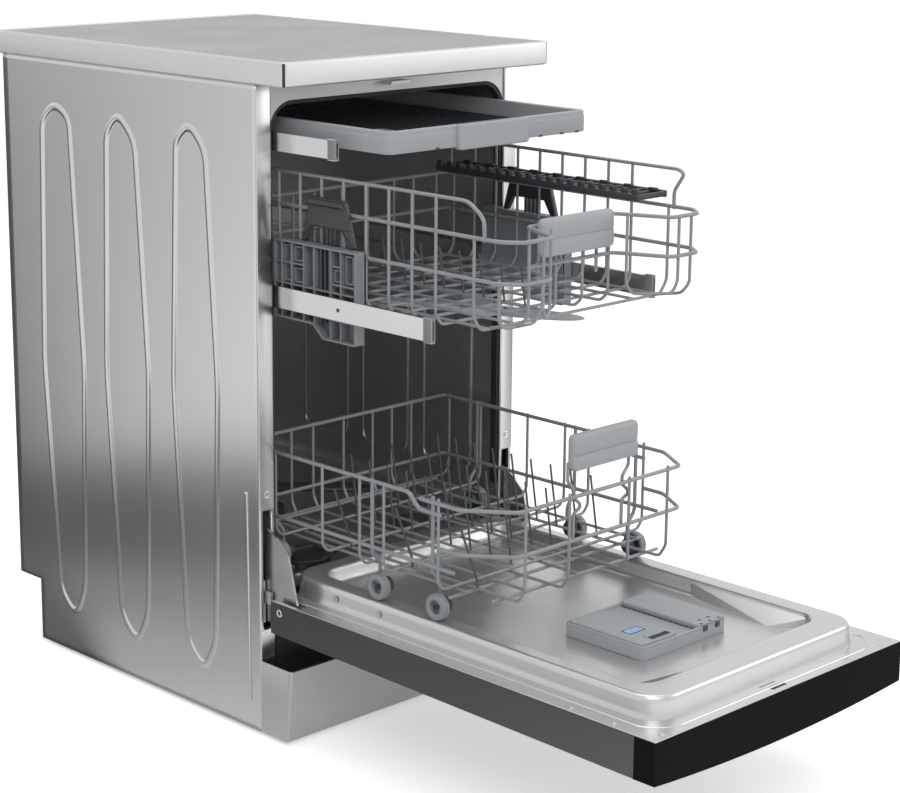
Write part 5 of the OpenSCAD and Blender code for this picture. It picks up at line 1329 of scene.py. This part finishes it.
@dataclass(frozen=True)
class Door:
    """The open door: the liner pressed from one sheet, its fixings, and the hinge horns' dark straps."""

    half: float = 222.0
    front: float = -588.0
    rear: float = 27.0
    low: float = 182.0
    flange: float = 183.5
    rim: float = 209.9
    foot_at: tuple[float, float, float, float] = (-189.0, 189.0, -560.0, 40.0)
    dish_at: tuple[float, float, float, float] = (-159.0, 159.0, -518.0, 10.0)
    floor: float = 190.2
    floor_side: float = 190.8
    screws: tuple[tuple[float, float], ...] = ((-215, -463), (-214, -524), (-200, -579), (194, -580))
    dimples: tuple[float, float] = (-52.0, -128.0)
    floor_slope: float = 0.075
    flat_half: float = 88.0
    slot_x: tuple[float, float] = (204.5, 217.5)
    slot_y: float = -20.0

    def liner(self) -> Shape:
        """Builds the raised rim and sunk floor: rings over the rim, down its inner wall and in to the middle.

        The floor is flat near the middle line and rises a little beyond, up to the level of its side parts.

        Returns:
            A closed shape with its underside just over the flange.
        """
        foot, dish = rounded_box(*self.foot_at, 38.0, 9), rounded_box(*self.dish_at, 26.0, 9)
        top = self.rim
        outer = [(0.0, 182.6), (0.2, 184.6), (1.2, 187.0), (2.2, 192.0), (3.2, 203.0), (4.0, 206.6),
                 (5.6, 208.9), (8.0, top - 0.1), (10.6, top)]
        inner = [(-6.0, top), (-2.6, top - 0.1), (-0.6, 209.1), (0.8, 207.4), (2.0, 204.6), (5.0, 195.4),
                 (6.6, 193.0), (9.0, 191.6), (13.0, 190.9)]
        wall = np.concatenate([rings_of(foot, np.array(outer)), rings_of(dish, np.array(inner))])
        middle = np.array([0.0, (self.dish_at[2] + self.dish_at[3]) / 2])
        share = np.linspace(1, 0.02, 16)[1:, None, None]
        flat = middle + share * (wall[-1][None, :, :2] - middle)
        beyond = np.maximum(np.abs(flat[..., :1]) - self.flat_half, 0)
        rise = self.floor + self.floor_slope * beyond * share**0.5
        floor = np.concatenate([flat, np.minimum(rise, self.floor_side)], axis=-1)
        return loft(np.concatenate([wall, floor]))

    def facets(self) -> Shape:
        """Builds the flat ramps that lead from the dish's walls down to its floor, as closed wedges."""
        right = [(159, -318, 206), (159, -506, 206), (131, -462, 190.7), (147, -340, 190.9)]
        left = [(-62, -518, 206), (-152, -500, 205), (-138, -484, 191.0), (-104, -482, 190.7)]
        triangles = np.array([(0, 3, 2), (0, 2, 1), (0, 4, 3), (1, 2, 5)])
        quads = np.array([(4, 5, 2, 3), (0, 1, 5, 4)])
        parts = []
        for corners in (right, left):
            points = [*corners, *[(x, y, 190.0) for x, y, _ in corners[:2]]]
            parts.append(facing_out(Shape(np.array(points, float), [triangles, quads])))
        return Shape.join(parts)

    def fixings(self) -> Shape:
        """Builds the flange's small screws and the round dimples in the rim's left wall."""
        profile = [(0.4, 0), (3.4, 0), (3.2, 0.7), (2.2, 1.1), (1.3, 1.1), (1.0, 0.6), (0.4, 0.6)]
        head = lathe(profile, (0, 0, self.flange - 0.1), sides=20)
        ring = lathe([(2.6, 0), (4.2, 0), (4.0, 0.7), (2.9, 0.7)], (0, 0, 0), "X", 24)
        dimples = [ring.moved(self.foot_at[0] + 1.0, y, 197) for y in self.dimples]
        return Shape.join([*[head.moved(x, y) for x, y in self.screws], *dimples])

    def flange_sheet(self) -> Shape:
        """Builds the flat flange, with a slot for each hinge horn, and a bead round the rim's foot."""
        h, y0, y1, (s0, s1), slot_y = self.half, self.front, self.rear, self.slot_x, self.slot_y
        outline = [(-h, y0), (h, y0), (h, y1), (s1, y1), (s1, slot_y), (s0, slot_y), (s0, y1),
                   (-s0, y1), (-s0, slot_y), (-s1, slot_y), (-s1, y1), (-h, y1)]
        sheet = slab(np.array(outline, float), self.low + 0.05, self.flange, 0.3)
        bead = rounded_box(-204, 204, -575, 60, 44.0, 8)
        keep = bead[bead[:, 1] < 20]
        order = np.argsort(np.arctan2(keep[:, 0], -(keep[:, 1] - 60)))
        path = np.column_stack([keep[order], np.full(len(keep), self.flange - 0.9)])
        path[:, 0] = np.clip(path[:, 0], -201, 201)
        return Shape.join([sheet, tube(path, 1.9, 8)])

    def plugs(self) -> Shape:
        """Builds the pair of round plugs in the door's sides, beside the hinges."""
        x = -self.half - 1.0
        profile = [(0.5, x - 0.4), (2.6, x - 0.4), (3.0, x - 0.9), (4.6, x - 0.9), (5.2, x), (0.5, x)]
        return lathe(profile, (0, 11.8, 171.0), "X", 28).both_sides()

    def straps(self) -> Shape:
        """Builds the dark straps along the front edges of the hinge horns."""
        line = np.array([(26.5, 210.3), (21.8, 201.5), (15.3, 190.8), (4.3, 180.6)])
        outline = np.vstack([line, (line + [4.5, 1.5])[::-1]])
        return slab(outline, 202.6, 204.4, 0.3, Plane.YZ).both_sides()

    def latch_mouth_shade(self) -> Shape:
        """Builds dark plates that paint the shade in the mouth of the lock and in the thin slot behind it."""
        z = self.flange
        mouth = block((-13, -581, z - 0.4), (13, -572.5, z + 0.12), 0.15, 1.5)
        return Shape.join([mouth, block((-19, -567, z - 0.3), (9, -565.6, z + 0.1), 0.1)])

    def build(self, dresser: "Dresser") -> None:
        """Makes the door's pieces."""
        dresser.piece("liner_facets", self.facets(), Finish.LINER, "door", flat=True)
        pan = Shape.join([self.liner(), self.flange_sheet(), self.fixings()])
        dresser.piece("liner_pressed", pan, Finish.LINER, "door", ["door_liner", "liner_floor"])
        # Painted shade: dark plates in the lock's mouth and slot.
        dresser.piece("latch_mouth_shade", self.latch_mouth_shade(), Finish.BASE, "door")
        Dispenser().build(dresser)
        dresser.piece("door_plugs", self.plugs(), Finish.TRIM, "door")
        dresser.piece("hinge_straps", self.straps(), Finish.SLATE, "door")


@dataclass(frozen=True)
class Studio:
    """The pale floor and surround, the lamps, and the camera solved from the photograph."""

    camera_at: tuple[float, float, float] = (-1920.3, -1988.9, 1098.9)
    azimuth: float = -44.821
    elevation: float = 12.853
    roll: float = 0.474
    focal_px: float = 2249.37
    centre_px: tuple[float, float] = (450.0, 351.5)
    glow: float = 0.5
    floor_half: float = 14.0
    # The reflection painted on the floor for glossy rays only: a soft dark band and a shade behind.
    band_lean: float = 0.9
    band_reach: float = 3.0
    band_stops: tuple[tuple[float, float], ...] = (
        (0.02, 0.0), (0.12, 0.40), (0.22, 0.56), (0.32, 0.74), (0.45, 0.96), (0.62, 0.97), (0.73, 0.0)
    )
    painted_reflection_grey: float = 0.09
    shade_start: float = 1.02
    shade_rise: float = 1.1
    shade_most: float = 0.92
    surround_light: float = 0.55
    lamps: tuple[tuple[str, Sequence[float], Sequence[float], Sequence[float], float], ...] = (
        ("key", (-2.2, -2.6, 3.0), (0, 0, 0.5), (2.4, 2.0), 46),
        ("fill", (2.6, -2.2, 1.8), (0, 0, 0.5), (2.0, 2.0), 22),
        ("top", (0, 0.2, 3.2), (0, 0, 0.4), (2.6, 2.6), 26),
    )

    def camera(self) -> None:
        """Makes the camera: it looks down at the object, shifted a little to the photograph's framing."""
        a, e, r = (math.radians(v) for v in (self.azimuth, self.elevation, self.roll))
        forward = Vector((-math.sin(a) * math.cos(e), math.cos(a) * math.cos(e), -math.sin(e)))
        right = forward.cross(Vector((0, 0, 1))).normalized()
        up = right.cross(forward)
        side = right * math.cos(r) + up * math.sin(r)
        top = up * math.cos(r) - right * math.sin(r)
        data = bpy.data.cameras.new("camera")
        data.sensor_width = 36.0
        data.sensor_fit = "HORIZONTAL"
        data.lens = self.focal_px * 36.0 / IMAGE_W
        data.shift_x = (IMAGE_W / 2 - self.centre_px[0]) / IMAGE_W
        data.shift_y = -(IMAGE_H / 2 - self.centre_px[1]) / IMAGE_W
        data.clip_start, data.clip_end = 0.05, 60.0
        camera = bpy.data.objects.new("camera", data)
        axes = Matrix((side, top, -forward)).transposed().to_4x4()
        camera.matrix_world = Matrix.Translation(Vector(self.camera_at) * MM) @ axes
        bpy.context.scene.collection.objects.link(camera)
        bpy.context.scene.camera = camera

    def floor(self) -> None:
        """Lays a pale floor that glows a little to the camera and to mirrors: white apart from shadows.

        Mirrors also see a painted reflection on it: a soft dark band, by w = |x| + 0.9 y in metres, and a
        painted shade behind, by y / |x|.
        """
        mesh = bpy.data.meshes.new("floor")
        s = self.floor_half
        mesh.from_pydata([(-s, -s, 0), (s, -s, 0), (s, s, 0), (-s, s, 0)], [], [(0, 1, 2, 3)])
        mat = bpy.data.materials.new("floor_pale")
        mat.use_nodes = True
        shader = mat.node_tree.nodes["Principled BSDF"]
        shader.inputs["Base Color"].default_value = (0.93, 0.93, 0.93, 1)
        shader.inputs["Roughness"].default_value = 0.9
        shader.inputs["Specular IOR Level"].default_value = 0.1
        nodes, links = mat.node_tree.nodes, mat.node_tree.links

        def maths(operation: str, *values: object) -> bpy.types.NodeSocket:
            """Adds a Math node whose inputs are numbers or sockets, and returns its result."""
            node = nodes.new("ShaderNodeMath")
            node.operation = operation
            node.use_clamp = operation == "MULTIPLY"
            for slot, value in zip(node.inputs, values):
                if isinstance(value, (int, float)):
                    slot.default_value = value
                else:
                    links.new(value, slot)
            return node.outputs[0]

        path = nodes.new("ShaderNodeLightPath")
        place, split = nodes.new("ShaderNodeTexCoord"), nodes.new("ShaderNodeSeparateXYZ")
        links.new(place.outputs["Object"], split.inputs[0])
        deep = maths("MULTIPLY_ADD", split.outputs["Y"], self.band_lean, 0.0)
        across = maths("ADD", maths("ABSOLUTE", split.outputs["X"]), deep)
        ramp = nodes.new("ShaderNodeValToRGB")
        slant = maths("DIVIDE", split.outputs["Y"], maths("ABSOLUTE", split.outputs["X"]))
        behind = maths("SUBTRACT", slant, self.shade_start)
        behind = maths("MINIMUM", maths("MULTIPLY", behind, self.shade_rise), self.shade_most)
        ramp.color_ramp.interpolation = "EASE"
        while len(ramp.color_ramp.elements) < len(self.band_stops):
            ramp.color_ramp.elements.new(0.5)
        for element, (where, level) in zip(ramp.color_ramp.elements, self.band_stops):
            element.position, element.color = where, (level, level, level, 1)
        links.new(maths("DIVIDE", across, self.band_reach), ramp.inputs[0])
        direct = maths("MAXIMUM", path.outputs["Is Camera Ray"], path.outputs["Is Glossy Ray"])
        seen = maths("MAXIMUM", direct, path.outputs["Is Transmission Ray"])
        shader.inputs["Emission Color"].default_value = (1, 1, 1, 1)
        links.new(maths("MULTIPLY", seen, self.glow), shader.inputs["Emission Strength"])
        # Painted reflection: a dark emission that only glossy rays see, in the band and behind.
        dark = nodes.new("ShaderNodeEmission")
        dark.inputs["Color"].default_value = (*grey(self.painted_reflection_grey), 1)
        both = nodes.new("ShaderNodeMixShader")
        shade = maths("MAXIMUM", ramp.outputs["Color"], behind)
        links.new(maths("MULTIPLY", path.outputs["Is Glossy Ray"], shade), both.inputs[0])
        links.new(shader.outputs[0], both.inputs[1])
        links.new(dark.outputs[0], both.inputs[2])
        links.new(both.outputs[0], nodes["Material Output"].inputs["Surface"])
        mesh.materials.append(mat)
        floor = bpy.data.objects.new("floor", mesh)
        bpy.context.scene.collection.objects.link(floor)

    def world(self) -> None:
        """Fills the surround with white that the camera and mirrors see, and a dimmer white that lights."""
        world = bpy.data.worlds.new("surround")
        world.use_nodes = True
        bpy.context.scene.world = world
        nodes, links = world.node_tree.nodes, world.node_tree.links
        back = nodes["Background"]
        path = nodes.new("ShaderNodeLightPath")
        both, seen = nodes.new("ShaderNodeMath"), nodes.new("ShaderNodeMath")
        both.operation = seen.operation = "MAXIMUM"
        links.new(path.outputs["Is Camera Ray"], both.inputs[0])
        links.new(path.outputs["Is Transmission Ray"], both.inputs[1])
        links.new(both.outputs[0], seen.inputs[0])
        links.new(path.outputs["Is Glossy Ray"], seen.inputs[1])
        level = nodes.new("ShaderNodeMix")
        level.data_type = "FLOAT"
        level.inputs[2].default_value = self.surround_light
        level.inputs[3].default_value = 1.0
        links.new(seen.outputs[0], level.inputs[0])
        links.new(level.outputs[0], back.inputs["Strength"])
        back.inputs["Color"].default_value = (1, 1, 1, 1)

    def lamp(
        self, name: str, at: Sequence[float], to: Sequence[float], size: Sequence[float], power: float
    ) -> None:
        """Hangs one soft rectangular lamp.

        Args:
            name: The lamp's name.
            at: Where it hangs, in metres.
            to: The point that it faces.
            size: Its width and height.
            power: Its power in watts.
        """
        data = bpy.data.lights.new(name, "AREA")
        data.shape = "RECTANGLE"
        data.size, data.size_y = size
        data.energy = power
        lamp = bpy.data.objects.new(name, data)
        lamp.location = at
        lamp.rotation_euler = (Vector(to) - Vector(at)).to_track_quat("-Z", "Y").to_euler()
        bpy.context.scene.collection.objects.link(lamp)

    def build(self) -> None:
        """Makes the camera, floor, surround and lamps, and sets the plain view transform."""
        self.camera()
        self.floor()
        self.world()
        for lamp in self.lamps:
            self.lamp(*lamp)
        bpy.context.scene.view_settings.view_transform = "Standard"


def main() -> None:
    """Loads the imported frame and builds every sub-assembly in order."""
    logging.basicConfig(level=logging.INFO, format="%(message)s")
    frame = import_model()
    dresser = Dresser()
    dresser.dress_nodes(frame)
    Studio().build()
    for part in (Cabinet(), WaterWorks(), LowerRack(), UpperRack(), TopTray(), Door()):
        LOG.info("building %s", type(part).__name__)
        part.build(dresser)


if __name__ == "__main__":
    main()
